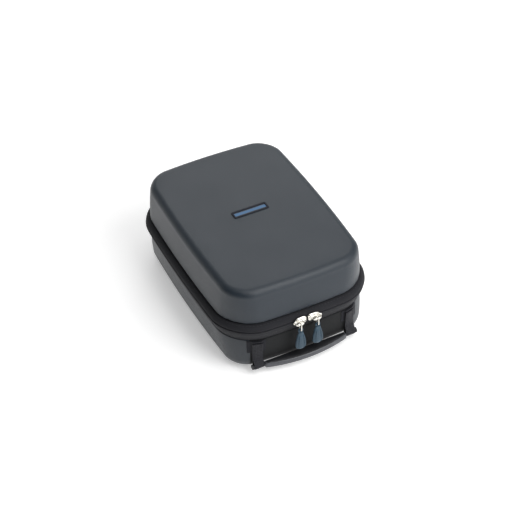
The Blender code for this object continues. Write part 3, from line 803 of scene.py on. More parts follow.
class Panel:
    """One piece while it is being made: its points, its faces and its map in metres."""

    MAP = "run"

    def __init__(self, name: str) -> None:
        """Start an empty piece.

        Args:
            name: The piece's name.
        """
        self.name = name
        self.points: list[Vector] = []
        self.faces: list[tuple[int, ...]] = []
        self.maps: list[tuple[Pair, ...]] = []
        self.parts: list[int] = []

    def grid(self, rows: Sequence[Row], ring: bool = False, hoop: bool = False, part: int = 0) -> None:
        """Skin rows of points.

        Args:
            rows: Rows with the same number of points.
            ring: Whether each row closes on itself.
            hoop: Whether the last row joins the first.
            part: Number of the finish that the faces take.
        """
        start, count, total = len(self.points), len(rows[0]), len(rows)
        for row in rows:
            self.points.extend(row)
        along = lengths(rows[total // 2], ring)
        rise = lengths([row[count // 3] for row in rows], hoop)
        for r in range(total if hoop else total - 1):
            low, high = start + r * count, start + (r + 1) % total * count
            for c in range(count if ring else count - 1):
                after = (c + 1) % count
                self.faces.append((low + c, low + after, high + after, high + c))
                u0, u1, v0, v1 = along[c], along[c + 1], rise[r], rise[r + 1]
                self.maps.append(((u0, v0), (u1, v0), (u1, v1), (u0, v1)))
                self.parts.append(part)

    def fan(self, row: Row, tip: Vector, part: int = 0) -> None:
        """Close a ring of points with triangles to one point.

        Args:
            row: The ring.
            tip: The point in the middle.
            part: Number of the finish that the faces take.
        """
        start, count = len(self.points), len(row)
        self.points.extend([*row, tip])
        for c in range(count):
            corners = (c, (c + 1) % count, count)
            self.faces.append(tuple(start + corner for corner in corners))
            places = [self.points[start + corner] for corner in corners]
            self.maps.append(tuple((p.x, p.y + p.z) for p in places))
            self.parts.append(part)

    def cap(self, *rows: Row, part: int = 0) -> None:
        """Close rings of points, each with triangles to its own middle."""
        for row in rows:
            self.fan(row, sum(row, Vector()) / len(row), part)

    def face(self, row: Row, steps: int, crown: float = 0.0) -> None:
        """Fill a ring with a slightly crowned face that is mapped flat.

        Args:
            row: The ring.
            steps: How many rings lie inside it.
            crown: How far the middle stands above the ring.
        """
        since = len(self.faces)
        rings = [row, *shrinking_rings(row, steps, crown)]
        self.grid(rings, ring=True)
        self.cap(rings[-1])
        self.flat_map(since)

    def flat_map(self, since: int) -> None:
        """Give the faces made since a count a map straight from their X and Y."""
        for k in range(since, len(self.faces)):
            self.maps[k] = tuple((self.points[i].x, self.points[i].y) for i in self.faces[k])

    def tube(self, path: Row, radius: float, sides: int = 8, ring: bool = False, part: int = 0) -> None:
        """A round wire along a path.

        Args:
            path: The wire's middle line.
            radius: Its radius.
            sides: How many sides it has.
            ring: Whether the path closes on itself.
            part: Number of the finish that the faces take.
        """
        turns = [2 * math.pi * k / sides for k in range(sides)]
        rows = self.sweep(path, [(radius * math.cos(t), radius * math.sin(t)) for t in turns], ring)
        self.grid(rows, ring=True, hoop=ring, part=part)
        if not ring:
            self.fan(rows[0], path[0], part)
            self.fan(rows[-1], path[-1], part)

    @staticmethod
    def sweep(
        path: Row,
        section: Sequence[Pair],
        ring: bool = False,
        side: Vector | None = None,
    ) -> list[Row]:
        """Carry a section along a path.

        Args:
            path: The middle line.
            section: Points of the section, as (sideways, outward) pairs.
            ring: Whether the path closes on itself.
            side: A fixed sideways direction. Without one the section doesn't twist.

        Returns:
            One row of points for each point of the path.
        """
        rows = []
        across = side
        for point, run in zip(path, tangents(path, ring)):
            if side is None:
                guess = across if across is not None else run.orthogonal()
                across = (guess - run * guess.dot(run)).normalized()
            out = run.cross(across).normalized()
            rows.append([point + across * a + out * b for a, b in section])
        return rows

    def capsule(self, start: Vector, end: Vector, radius: float, part: int = 0) -> None:
        """A short thick thread between two points, with round ends.

        Args:
            start: One end.
            end: The other end.
            radius: Its radius in the middle.
            part: Number of the finish that the faces take.
        """
        run = (end - start).normalized()
        across = run.orthogonal().normalized()
        out = run.cross(across)
        rows = []
        for share, size in ((0.0, 0.35), (0.12, 0.85), (0.5, 1.0), (0.88, 0.85), (1.0, 0.35)):
            middle = start.lerp(end, share)
            turns = [2 * math.pi * k / 6 for k in range(6)]
            spread = radius * size
            rows.append([middle + (across * math.cos(t) + out * math.sin(t)) * spread for t in turns])
        self.grid(rows, ring=True, part=part)
        self.fan(rows[0], start, part)
        self.fan(rows[-1], end, part)

    def stitches(
        self,
        line: Sequence[Vector],
        lift: Vector | None,
        pitch: float,
        radius: float,
        part: int,
    ) -> None:
        """A row of stitches along a line.

        Args:
            line: The line on the surface.
            lift: How far the thread stands off the line, as a vector, if it does.
            pitch: The distance from stitch to stitch.
            radius: The thread's radius.
            part: Number of the finish that the faces take.
        """
        even = respaced(line, pitch)
        offset = lift or Vector()
        for before, after in zip(even, even[1:]):
            self.capsule(before.lerp(after, 0.12) + offset, before.lerp(after, 0.84) + offset, radius, part)

    def pillow(self, outline: Sequence[Pair], layers: Sequence[Pair], placer: Placer, part: int = 0) -> None:
        """A closed body from an outline that is drawn in at each layer.

        Args:
            outline: The widest outline, counterclockwise.
            layers: (draw-in, height) pairs from the lowest layer to the highest.
            placer: Turns (a, b, height) into a point.
            part: Number of the finish that the faces take.
        """
        rows = [[placer(a, b, high) for a, b in inset_loop(outline, depth)] for depth, high in layers]
        self.grid(rows, ring=True, part=part)
        for row in (rows[0], rows[-1]):
            self.fan(row, sum(row, Vector()) / len(row), part)

    def build(self, finishes: Sequence[Finish], smooth: float = 40.0) -> bpy.types.Object:
        """Turn the piece into an object with its finishes.

        Args:
            finishes: The finishes, in the order of the part numbers.
            smooth: Edges sharper than this angle in degrees stay sharp.

        Returns:
            The object, linked to the scene.
        """
        mesh = bpy.data.meshes.new(self.name)
        mesh.from_pydata([tuple(point) for point in self.points], [], self.faces)
        layer = mesh.uv_layers.new(name=self.MAP)
        flat = [number for corners in self.maps for pair in corners for number in pair]
        layer.data.foreach_set("uv", flat)
        mesh.polygons.foreach_set("material_index", self.parts)
        for finish in finishes:
            mesh.materials.append(material_of(finish))
        shape = bmesh.new()
        shape.from_mesh(mesh)
        bmesh.ops.remove_doubles(shape, verts=shape.verts, dist=1e-6)
        bmesh.ops.recalc_face_normals(shape, faces=shape.faces)
        shape.to_mesh(mesh)
        shape.free()
        mesh.shade_smooth()
        mesh.set_sharp_from_angle(angle=math.radians(smooth))
        made = bpy.data.objects.new(self.name, mesh)
        bpy.context.scene.collection.objects.link(made)
        return made


def settle(piece: bpy.types.Object, body: Body, *nodes: str) -> bpy.types.Object:
    """Let a piece ride on its body and stand for CAD nodes.

    Args:
        piece: The piece, in place.
        body: The body that it moves with.
        nodes: The CAD nodes that it replaces.

    Returns:
        The piece.
    """
    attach(piece, body.value)
    if nodes:
        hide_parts(*nodes)
    log.info("%s rides on %s with %d faces", piece.name, body.value, len(piece.data.polygons))
    return piece


# ---- The form that all pieces share ---------------------------------------------------------------
class Level(NamedTuple):
    """One level of a lofted wall: how far in it is, its height and its corner radius."""

    inset: float
    height: float
    corner: float


@dataclass(frozen=True)
class Plan:
    """The case from above: a rounded rectangle whose sides bow out gently.

    Attributes:
        half_width: Half the width at the zip band, without the bow.
        half_length: Half the length there, without the bow.
        bow: How far the middle of each side stands out.
        corner: Corner radius of the zip band.
        corner_steps: Steps round one corner.
        short_steps: Steps along half a short side.
        long_steps: Steps along a long side.
    """

    half_width: float
    half_length: float
    bow: float = 0.0037
    corner: float = 0.0382
    corner_steps: int = 16
    short_steps: int = 9
    long_steps: int = 26

    def level(self, inset: float, height: float) -> Level:
        """A level of the zip band at an inset and a height."""
        return Level(inset, height, self.corner - inset)

    def ring(self, level: Level) -> Row:
        """Points round one level, from the middle of the rear side by way of -X.

        Args:
            level: The level.

        Returns:
            The points, counterclockwise.
        """
        half_x, half_y = self.half_width - level.inset, self.half_length - level.inset
        flat_x, flat_y = half_x - level.corner, half_y - level.corner
        found = [(-flat_x * k / self.short_steps, half_y) for k in range(self.short_steps)]
        for turn, (sign_x, sign_y) in enumerate(((-1, 1), (-1, -1), (1, -1), (1, 1))):
            for k in range(self.corner_steps + 1):
                angle = math.pi / 2 * (turn + 1 + k / self.corner_steps)
                x = sign_x * flat_x + level.corner * math.cos(angle)
                found.append((x, sign_y * flat_y + level.corner * math.sin(angle)))
            if turn == 1:
                steps = 2 * self.short_steps
                found += [(flat_x * (2 * k / steps - 1), -half_y) for k in range(1, steps)]
            elif turn < 3:
                shares = [1 - 2 * k / self.long_steps for k in range(1, self.long_steps)]
                found += [(sign_x * half_x, sign_y * flat_y * share) for share in shares]
        found += [(flat_x * (1 - k / self.short_steps), half_y) for k in range(1, self.short_steps)]
        return [Vector((*self.bowed(x, y, half_x, half_y), level.height)) for x, y in found]

    def bowed(self, x: float, y: float, half_x: float, half_y: float) -> Pair:
        """Push a point of a straight-sided outline out by the bow.

        Args:
            x: The point's X.
            y: The point's Y.
            half_x: Half the outline's width.
            half_y: Half its length.

        Returns:
            The point's new X and Y.
        """
        out_x = math.copysign(self.bow * (abs(x) / half_x) ** 4 * (1 - (y / half_y) ** 2), x)
        out_y = math.copysign(self.bow * (abs(y) / half_y) ** 4 * (1 - (x / half_x) ** 2), y)
        return x + out_x, y + out_y

    def zip_run(self, ring: Row) -> Row:
        """The part of a ring that the zip runs along: all but the straight rear side."""
        return ring[self.short_steps : len(ring) - self.short_steps + 1]

    def rear_run(self, ring: Row) -> Row:
        """The straight rear side of a ring, from +X to -X."""
        return ring[len(ring) - self.short_steps :] + ring[: self.short_steps + 1]


@dataclass(frozen=True)
class Form:
    """Heights, insets and radii of the two shells, with the zip band between them.

    Attributes:
        plan: The case from above.
        zip: Height of the zip.
        top: Height of the lid's flat top.
        lid_foot: Height of the lid's rolled foot.
        base_top: Height of the base wall's top edge.
        wall: Thickness of a moulded shell.
        lining: Thickness of a lining.
        lining_depth: From the shell's skin to the lining.
        insert_depth: From the shell's skin to the foam.
        rim_step: Height of each shell's rim from the zip.
        lid_foot_inset: Inset of the lid's foot.
        lid_top_inset: Inset of the lid's wall where the top edge starts.
        lid_top_corner: Corner radius there.
        lid_edge: Radius of the lid's top edge.
        base_top_inset: Inset of the base wall's top.
        base_foot_inset: Inset of the base wall's foot.
        base_foot_corner: Corner radius there.
        base_edge: Radius of the base's bottom edge.
        flange_step: How far each rim is set back from its wall.
        bulge: Inset of the tapes where they meet.
    """

    plan: Plan
    zip: float
    top: float
    lid_foot: float
    base_top: float
    wall: float = 0.0032
    lining: float = 0.0010
    lining_depth: float = 0.0040
    insert_depth: float = 0.0058
    rim_step: float = 0.0028
    lid_foot_inset: float = 0.0052
    lid_top_inset: float = 0.0084
    lid_top_corner: float = 0.0243
    lid_edge: float = 0.0080
    base_top_inset: float = 0.0050
    base_foot_inset: float = 0.0075
    base_foot_corner: float = 0.0223
    base_edge: float = 0.0147
    flange_step: float = 0.0021
    bulge: float = 0.0006

    @classmethod
    def of_frame(cls) -> "Form":
        """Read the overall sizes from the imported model.

        Returns:
            The form.
        """
        bow, tape_gap, skin_gap = Plan.bow, 0.00015, 0.0003
        lower_low, lower_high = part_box("zip_tape_lower")
        upper_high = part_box("zip_tape_upper")[1]
        return cls(
            plan=Plan(lower_high.x - bow, -lower_low.y - bow),
            zip=lower_high.z + tape_gap,
            top=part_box("lid_shell")[1].z,
            lid_foot=upper_high.z + 3 * skin_gap,
            base_top=lower_low.z - 2 * skin_gap,
        )

    def base_wall(self, height: float) -> Level:
        """The base's outer wall at a height above its bottom edge."""
        share = (height - self.base_edge) / (self.base_top - self.base_edge)
        inset = self.base_foot_inset + share * (self.base_top_inset - self.base_foot_inset)
        high_corner = self.plan.corner - self.base_top_inset
        corner = self.base_foot_corner + share * (high_corner - self.base_foot_corner)
        return Level(inset, height, corner)

    def lid_wall(self, height: float) -> Level:
        """The lid's outer wall at a height between its foot and its top edge."""
        share = (height - self.lid_foot) / (self.top - self.lid_edge - self.lid_foot)
        inset = self.lid_foot_inset + share * (self.lid_top_inset - self.lid_foot_inset)
        low_corner = self.plan.corner - self.lid_foot_inset
        corner = low_corner + share * (self.lid_top_corner - low_corner)
        return Level(inset, height, corner)

    def lid_edge_levels(self, depth: float, steps: int) -> list[Level]:
        """The lid's rounded top edge, from its wall to its flat top.

        Args:
            depth: How far below the skin.
            steps: Steps round the edge.

        Returns:
            The levels, from low to high.
        """
        radius = self.lid_edge - depth
        found = []
        for sine, cosine in quarter(steps):
            drawn_in = depth + radius * (1 - cosine)
            height = self.top - depth - radius * (1 - sine)
            found.append(Level(self.lid_top_inset + drawn_in, height, self.lid_top_corner - drawn_in))
        return found

    def base_edge_levels(self, depth: float, steps: int) -> list[Level]:
        """The base's rounded bottom edge, from its flat bottom to its wall.

        Args:
            depth: How far inside the skin.
            steps: Steps round the edge.

        Returns:
            The levels, from low to high.
        """
        radius = self.base_edge - depth
        found = []
        for sine, cosine in quarter(steps):
            drawn_in = depth + radius * (1 - sine)
            height = depth + radius * (1 - cosine)
            found.append(Level(self.base_foot_inset + drawn_in, height, self.base_foot_corner - drawn_in))
        return found

    def front_face(self, x: float, height: float) -> float:
        """Y of the base's skin on the front side.

        Args:
            x: Place across the case.
            height: Height above the bottom.

        Returns:
            The Y.
        """
        if height < self.base_edge:
            rise = self.base_edge - height
            drawn_in = self.base_edge - math.sqrt(self.base_edge**2 - rise**2)
            inset, corner = self.base_foot_inset + drawn_in, self.base_foot_corner - drawn_in
        else:
            inset, _, corner = self.base_wall(height)
        half_x, half_y = self.plan.half_width - inset, self.plan.half_length - inset
        past = max(abs(x) - (half_x - corner), 0)
        y = -(half_y - corner) - math.sqrt(corner**2 - past**2)
        return self.plan.bowed(x, y, half_x, half_y)[1]


def shrinking_rings(row: Row, steps: int, crown: float = 0.0) -> list[Row]:
    """Copies of a ring that shrink towards its middle over a slightly crowned face.

    Args:
        row: The outer ring.
        steps: How many copies.
        crown: How far the middle stands above the ring.

    Returns:
        The rings, from the outermost copy inwards.
    """
    middle = sum(row, Vector()) / len(row)
    rings = []
    for k in range(1, steps + 1):
        share = 1 - k / (steps + 1)
        lift = UP * (crown * (1 - share**2))
        rings.append([middle + (point - middle) * share + lift for point in row])
    return rings


# ---- Shells ---------------------------------------------------------------------------------------
@dataclass
class MouldedShells:
    """The two moulded shells with their cloth faces.

    Attributes:
        form: The shared form.
        roll: Radius of the lid's rolled foot.
        lip: Radius of the base wall's top edge.
        crown: How far the lid's top stands up in the middle.
        belly: How far the walls swell between their ends.
        face_steps: Rings on a flat face.
    """

    form: Form
    roll: float = 0.0017
    lip: float = 0.0009
    crown: float = 0.0004
    belly: float = 0.0004
    face_steps: int = 14

    def walls(self, low: Level, high: Level, steps: int) -> list[Level]:
        """Levels between two others, with a slight belly.

        Args:
            low: The level below, left out.
            high: The level above, left out.
            steps: How many steps lie between them.

        Returns:
            The levels.
        """
        found = []
        for k in range(1, steps):
            share = k / steps
            swell = self.belly * math.sin(math.pi * share)
            mixed = [a + (b - a) * share for a, b in zip(low, high)]
            found.append(Level(mixed[0] - swell, mixed[1], mixed[2] + swell))
        return found

    def build_lid(self) -> None:
        """Skin of the lid, from its rim inside the band to its crowned top, and back inside."""
        form, plan = self.form, self.form.plan
        flange = form.lid_foot_inset + form.flange_step
        rim, foot = form.zip + form.rim_step, form.lid_foot
        levels = [plan.level(flange, rim), plan.level(flange, foot - 0.0002)]
        for sine, cosine in quarter(6):
            inset = form.lid_foot_inset + self.roll * (1 - sine)
            levels.append(plan.level(inset, foot + self.roll * (1 - cosine)))
        edge = form.lid_edge_levels(0, 14)
        levels += self.walls(levels[-1], edge[0], 12) + edge
        inner = form.lid_edge_levels(form.wall, 6)
        inner.insert(0, Level(flange + form.wall, rim, plan.corner - flange - form.wall))
        self.skin("lid_skin", levels, inner, self.crown, Body.LID, "lid_shell")

    def build_base(self) -> None:
        """Skin of the base, from its flat bottom to its rim inside the band, and back inside."""
        form, plan = self.form, self.form.plan
        flange = form.base_top_inset + form.flange_step
        rim, top = form.zip - form.rim_step, form.base_top
        edge = form.base_edge_levels(0, 16)
        shoulder = plan.level(form.base_top_inset, top - self.lip)
        levels = [plan.level(flange, rim), plan.level(flange, top + 0.0002)]
        for sine, cosine in quarter(5):
            inset = form.base_top_inset + self.lip * (1 - sine)
            levels.append(plan.level(inset, top - self.lip * (1 - cosine)))
        levels += self.walls(shoulder, edge[-1], 8) + edge[::-1]
        inner = form.base_edge_levels(form.wall, 6)[::-1]
        inner.insert(0, Level(flange + form.wall, rim, plan.corner - flange - form.wall))
        self.skin("base_skin", levels, inner, 0.0, Body.BASE, "base_shell")

    def skin(
        self,
        name: str,
        outer: list[Level],
        inner: list[Level],
        crown: float,
        body: Body,
        node: str,
    ) -> None:
        """Build a closed shell from an outer and an inner run of levels, both from the rim on.

        Args:
            name: The piece's name.
            outer: Levels of the outer skin.
            inner: Levels of the inner skin.
            crown: How far the outer face stands up in its middle.
            body: The body that it moves with.
            node: The CAD node that it replaces.
        """
        panel = Panel(name)
        for levels, lift in ((outer, crown), (inner, 0.0)):
            rows = [self.form.plan.ring(level) for level in levels]
            panel.grid(rows, ring=True)
            panel.face(rows[-1], self.face_steps, lift)
        panel.grid([self.form.plan.ring(outer[0]), self.form.plan.ring(inner[0])], ring=True)
        settle(panel.build([SHELL if body is Body.LID else BASE_SHELL]), body, node)


# ---- Zip ------------------------------------------------------------------------------------------
@dataclass
class ZipBand:
    """Tapes, coils, stitching and the fabric hinge that joins the shells.

    Attributes:
        form: The shared form.
        tape: Thickness of a tape.
        part_gap: Gap between the two tapes.
        coil_behind: From the tape's inner face to the coil.
        coil_pitch: Distance from turn to turn of the coil.
        coil_wire: Radius of the coil's wire.
        coil_deep: Half the coil's depth, across the zip.
        coil_high: Half the coil's height, along the tape's width.
        stitch: Pitch of the sewing.
        thread: Radius of the sewing thread.
        swell: The lower tape's swell, as (share of the inset, share of the rise) pairs.
        knee: From the zip down to the lower tape's widest line.
    """

    form: Form
    tape: float = 0.0008
    part_gap: float = 0.0005
    coil_behind: float = 0.0012
    coil_pitch: float = 0.0019
    coil_wire: float = 0.00036
    coil_deep: float = 0.0007
    coil_high: float = 0.0012
    stitch: float = 0.0034
    thread: float = 0.00030
    swell: tuple[Pair, ...] = (
        (0.98, 0.03),
        (0.90, 0.12),
        (0.78, 0.24),
        (0.60, 0.41),
        (0.43, 0.56),
        (0.26, 0.70),
        (0.12, 0.83),
    )
    knee: float = 0.0017

    def section(self, half: Half) -> list[Pair]:
        """Insets and heights of a tape's outer face, from low to high.

        Args:
            half: Which tape.

        Returns:
            The (inset, height) pairs.
        """
        form, edge = self.form, self.part_gap / 2
        if half is Half.LOWER:
            foot = form.base_top + 0.0004
            rise = form.zip - self.knee - foot
            pairs = [(form.base_top_inset + 0.0006, foot)]
            pairs += [(form.base_top_inset * inset, foot + rise * share) for inset, share in self.swell]
            pairs += [(0.00005, form.zip - self.knee * 0.8), (0.0, form.zip - self.knee * 0.45)]
            return pairs + [(0.0002, form.zip - edge - 0.0003), (form.bulge, form.zip - edge)]
        foot = form.zip + edge
        head = form.lid_foot - 0.0009
        tuck = form.lid_foot_inset + form.flange_step - self.tape - 0.0003
        pairs = [(form.bulge, foot), (form.bulge * 0.4, foot + 0.0003)]
        for sine, cosine in quarter(10):
            inset = 0.0003 + (tuck - 0.0003) * (1 - cosine) ** 0.85
            pairs.append((inset, foot + 0.0006 + (head - foot - 0.0006) * sine))
        return pairs

    def strip(self, panel: Panel, pairs: list[Pair], cut: Callable[[Row], Row]) -> None:
        """Skin a tape with its thickness.

        Args:
            panel: The piece to add to.
            pairs: Insets and heights of its outer face.
            cut: Takes the wanted stretch of a ring.
        """
        plan = self.form.plan
        outer = [cut(plan.ring(plan.level(inset, height))) for inset, height in pairs]
        inner = [cut(plan.ring(plan.level(inset + self.tape, height))) for inset, height in reversed(pairs)]
        panel.grid(outer + inner, hoop=True)
        for end in (0, -1):
            rows = [[low[end], high[end]] for low, high in zip(outer, reversed(inner))]
            panel.grid(rows)

    def build_tapes(self) -> None:
        """Both tapes, each with its row of stitching."""
        plan = self.form.plan
        for half in Half:
            pairs = self.section(half)
            panel = Panel("tape_" + half.word)
            self.strip(panel, pairs, plan.zip_run)
            inset, height = pairs[2] if half is Half.LOWER else pairs[-4]
            seam = plan.zip_run(plan.ring(plan.level(inset - self.thread * 0.3, height)))
            panel.stitches(seam, None, self.stitch, self.thread, 1)
            settle(panel.build([TAPE, THREAD]), half.body, "zip_tape_" + half.word)

    def build_hinge(self) -> None:
        """One strip of tape across the rear, from the base's tape over the zip line to the lid's tape."""
        plan, form = self.form.plan, self.form
        lower, upper = self.section(Half.LOWER)[:-3], self.section(Half.UPPER)[2:]
        steps = 10
        low, high = lower[-1], upper[0]
        bridge = []
        for k in range(1, steps):
            share = k / steps
            bridge.append((low[0] + (high[0] - low[0]) * share, low[1] + (high[1] - low[1]) * share))
        panel = Panel("hinge_fabric")
        pairs = lower + bridge + upper
        self.strip(panel, pairs, plan.rear_run)
        for inset, height in (pairs[2], pairs[-4]):
            seam = plan.rear_run(plan.ring(plan.level(inset - self.thread * 0.3, height)))
            panel.stitches(seam, None, self.stitch, self.thread, 1)
        piece = panel.build([TAPE, THREAD])
        rear = plan.half_length + plan.bow
        reach = 0.0011
        ends = [(0.0, rear, form.zip + sign * reach) for sign in (-1, 1)]
        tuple(ends[0])
        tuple(ends[1])
        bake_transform(piece)
        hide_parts("hinge_strip_lower", "hinge_strip_upper")
        log.info("%s bends between the base and the lid", piece.name)

    def build_coils(self) -> None:
        """Both turned coils behind the tapes, with their turns set between each other's."""
        plan, form = self.form.plan, self.form
        inset = form.bulge + self.tape + self.coil_behind + self.coil_deep
        for half in Half:
            middle = form.zip + half.value * (self.part_gap / 2 + self.coil_high * 0.82)
            line = respaced(plan.zip_run(plan.ring(plan.level(inset, middle))), self.coil_pitch / 8)
            runs = tangents(line)
            path = []
            offset = 0.0 if half is Half.LOWER else math.pi
            for k, (point, run) in enumerate(zip(line, runs)):
                angle = 2 * math.pi * k / 8 + offset
                out = run.cross(UP)
                swing = out * (self.coil_deep * math.cos(angle)) + UP * (self.coil_high * math.sin(angle))
                path.append(point + swing)
            panel = Panel("coil_" + half.word)
            panel.tube(path, self.coil_wire, sides=5)
            settle(panel.build([COIL], smooth=60), half.body, "zip_coil_" + half.word)


# ---- Sliders and pulls ----------------------------------------------------------------------------
@dataclass
class ZipSlider:
    """One slider with its crown, its inner plate, the link and the moulded pull.

    Attributes:
        side: Which of the two sliders.
        form: The shared form.
        spacing: From slider to slider.
        length: Length of the plate.
        lead: Half the height of the plate's wide end.
        tail: Half the height of its narrow end.
        plate: Thickness of the plate.
        crown_reach: How far the crown stands out from the plate.
        crown_width: Half the width of the crown's strap.
        link_wire: Radius of the link's wire.
        link_width: Width of the link between its wire's middles.
        link_length: Length of its straight sides.
        pull_length: Length of the moulded pull.
        pull_width: Its widest width.
        pull_thickness: Its greatest thickness.
        neck: Its width at the eye.
        ribs: Number of ribs on each face.
        rib_deep: Depth of the ribs.
        head_above: From the eye's middle up to the pull's head.
        throat: From the pull's head down to where its ribbed body starts.
        eye_radius: Radius of the eye, to the middle of its ring.
        eye_wire: Radius of the eye's ring.
        crown_half: Half the crown's length.
        square: How square the plate's outline is, where 1 is an ellipse.
    """

    side: Side
    form: Form
    spacing: float = 0.0140
    length: float = 0.0126
    lead: float = 0.0047
    tail: float = 0.0036
    plate: float = 0.0016
    crown_reach: float = 0.0032
    crown_width: float = 0.0013
    link_wire: float = 0.00065
    link_width: float = 0.0042
    link_length: float = 0.0068
    pull_length: float = 0.0258
    pull_width: float = 0.0112
    pull_thickness: float = 0.0036
    neck: float = 0.0050
    ribs: int = 5
    rib_deep: float = 0.0006
    head_above: float = 0.0024
    throat: float = 0.0046
    eye_radius: float = 0.00195
    eye_wire: float = 0.00085
    crown_half: float = 0.0043
    square: float = 0.62
    pivot: Vector = field(init=False)

    def __post_init__(self) -> None:
        """Read the place of the bar that the link hangs on from the joint."""
        name = f"pull_{self.side.word}_swing"
        joint = next(j for j in frame["joints"] if j["name"] == name)
        self.pivot = Vector(joint["pos_m"])

    def placer(self, face: float) -> Placer:
        """A placer on the front of the band, with its first axis towards the other slider."""
        x, toward = self.side.value * self.spacing / 2, -self.side.value
        return lambda a, b, high: Vector((x + toward * a, face - high, self.form.zip + b))

    def plate_outline(self) -> list[Pair]:
        """Outline of the plate: wide shoulders at the leading end and a narrower, rounder tail."""
        half, steps = self.length / 2, 40
        found = []
        for k in range(steps):
            angle = 2 * math.pi * k / steps
            cosine, sine = math.cos(angle), math.sin(angle)
            a = half * math.copysign(abs(cosine) ** self.square, cosine)
            share = (a / half + 1) / 2
            high = self.tail + (self.lead - self.tail) * share**0.8
            found.append((a, high * math.copysign(abs(sine) ** self.square, sine)))
        return found

    def build_body(self) -> None:
        """Outer plate with its shoulders, ridge and crown."""
        face = -(self.form.plan.half_length + self.form.plan.bow) - 0.0003
        panel = Panel("slider_" + self.side.word)
        placer = self.placer(face)
        outline = self.plate_outline()
        thick = self.plate
        layers = [(0.0003, 0.0), (0.0, 0.0003), (0.0, thick * 0.5), (0.0004, thick * 0.8), (0.0011, thick)]
        panel.pillow(outline, layers, placer)
        ridge = [(a * 0.86, b * 0.34) for a, b in outline]
        panel.pillow(ridge, [(0.0, thick * 0.6), (0.0, thick * 1.15), (0.0004, thick * 1.35)], placer)
        middle = self.pivot.x
        foot = face - thick * 0.8
        steps, half = 16, self.crown_half
        path = []
        for k in range(steps + 1):
            angle = math.pi * k / steps
            along = math.copysign(abs(math.cos(angle)) ** 0.6, math.cos(angle))
            out = (self.crown_reach + thick * 0.2 + 0.0006) * max(math.sin(angle), 0) ** 0.6
            path.append(Vector((middle + half * along, foot - out, self.form.zip - 0.0006)))
        strap = self.crown_width
        turns = [math.pi * k / 6 for k in range(12)]
        section = [(strap * math.cos(t), 0.00055 * math.sin(t)) for t in turns]
        rows = Panel.sweep(path, section, side=UP)
        panel.grid(rows, ring=True)
        for sign in (-1, 1):
            middle_a = (middle - self.side.value * self.spacing / 2) * -self.side.value + sign * half
            knob = [(a * 0.26 + middle_a, b * 0.42) for a, b in outline]
            panel.pillow(knob, [(0.0, thick * 0.5), (0.0, thick * 1.25), (0.0005, thick * 1.6)], placer)
        settle(panel.build([PLATED]), Body("slider_" + self.side.word), "slider_body_" + self.side.word)

    def build_back(self) -> None:
        """Inner plate that runs behind the coil."""
        low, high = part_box("slider_back_" + self.side.word)
        panel = Panel("slider_inner_" + self.side.word)
        thick = high.y - low.y
        outline = [(a, b * 0.55) for a, b in self.plate_outline()]
        layers = [(0.0004, 0.0), (0.0, 0.0003), (0.0, thick * 0.7), (0.0004, thick)]
        panel.pillow(outline, layers, self.placer(high.y))
        settle(panel.build([PLATED]), Body("slider_" + self.side.word), "slider_back_" + self.side.word)

    def build_link(self) -> None:
        """Wire link from the crown to the pull's eye."""
        bend, steps = self.link_width / 2, 10
        path = []
        for turn, drop in ((0, 0.0), (1, self.link_length - bend)):
            for k in range(steps + 1):
                angle = math.pi * (turn + k / steps)
                swing = Vector((0, bend * math.cos(angle), bend * math.sin(angle)))
                path.append(self.pivot - UP * drop + swing)
        panel = Panel("link_" + self.side.word)
        panel.tube(path, self.link_wire, sides=12, ring=True)
        settle(panel.build([PLATED]), Body("pull_" + self.side.word), "pull_link_" + self.side.word)

    def build_pull(self) -> None:
        """Teardrop pull with ribs that run together at its neck, and a round eye."""
        eye = self.pivot - UP * self.link_length
        head = eye.z + self.head_above
        rows_count, columns = 44, 72
        rows = []
        for r in range(rows_count + 1):
            share = r / rows_count
            wide = self.width_at(share)
            fullness = math.sin(math.pi * min(1.0, share * 0.62 + 0.12))
            thick = self.pull_thickness / 2 * (0.55 + 0.45 * fullness)
            thick *= min(1.0, wide / (self.neck / 2)) ** 0.6
            rib_depth = self.rib_deep * min(1.0, max(0.0, (share - 0.10) / 0.12))
            rib_depth *= min(1.0, (1 - share) / 0.10)
            z = head - self.throat - share * (self.pull_length - self.throat)
            row = []
            for c in range(columns):
                angle = 2 * math.pi * c / columns
                cosine, sine = math.cos(angle), math.sin(angle)
                across = wide * math.copysign(abs(cosine) ** 0.75, cosine)
                deep = thick * math.copysign(abs(sine) ** 0.75, sine)
                wave = math.cos(math.pi * (across / max(wide, 1e-6)) * (self.ribs - 0.2))
                deep += math.copysign(rib_depth * wave * abs(sine), sine)
                row.append(Vector((eye.x + across, eye.y + deep, z)))
            rows.append(row)
        panel = Panel("pull_" + self.side.word)
        panel.grid(rows, ring=True)
        panel.cap(rows[0], rows[-1])
        ring = []
        for k in range(24):
            angle = 2 * math.pi * k / 24
            across, high = self.eye_radius * math.cos(angle), self.eye_radius * math.sin(angle)
            ring.append(eye + Vector((across, 0, high)))
        panel.tube(ring, self.eye_wire, sides=10, ring=True)
        neck_low = [Vector((eye.x + a, eye.y + b, eye.z - 0.0034)) for a, b in self.neck_section(0.9)]
        neck_high = [Vector((eye.x + a, eye.y + b, eye.z - 0.0014)) for a, b in self.neck_section(0.75)]
        panel.grid([neck_low, neck_high], ring=True)
        panel.cap(neck_low, neck_high)
        body = Body("pull_" + self.side.word)
        settle(panel.build([PULL_RUBBER], smooth=60), body, "pull_grip_" + self.side.word)

    def width_at(self, share: float) -> float:
        """Half the pull's width at a share of its length below the eye."""
        narrow, wide = self.neck / 2, self.pull_width / 2
        belly = 0.74
        if share < belly:
            return narrow + (wide - narrow) * math.sin(math.pi / 2 * share / belly) ** 1.15
        past = (share - belly) / (1 - belly)
        return wide * max(1 - past**3.6, 0.0004) ** 0.5

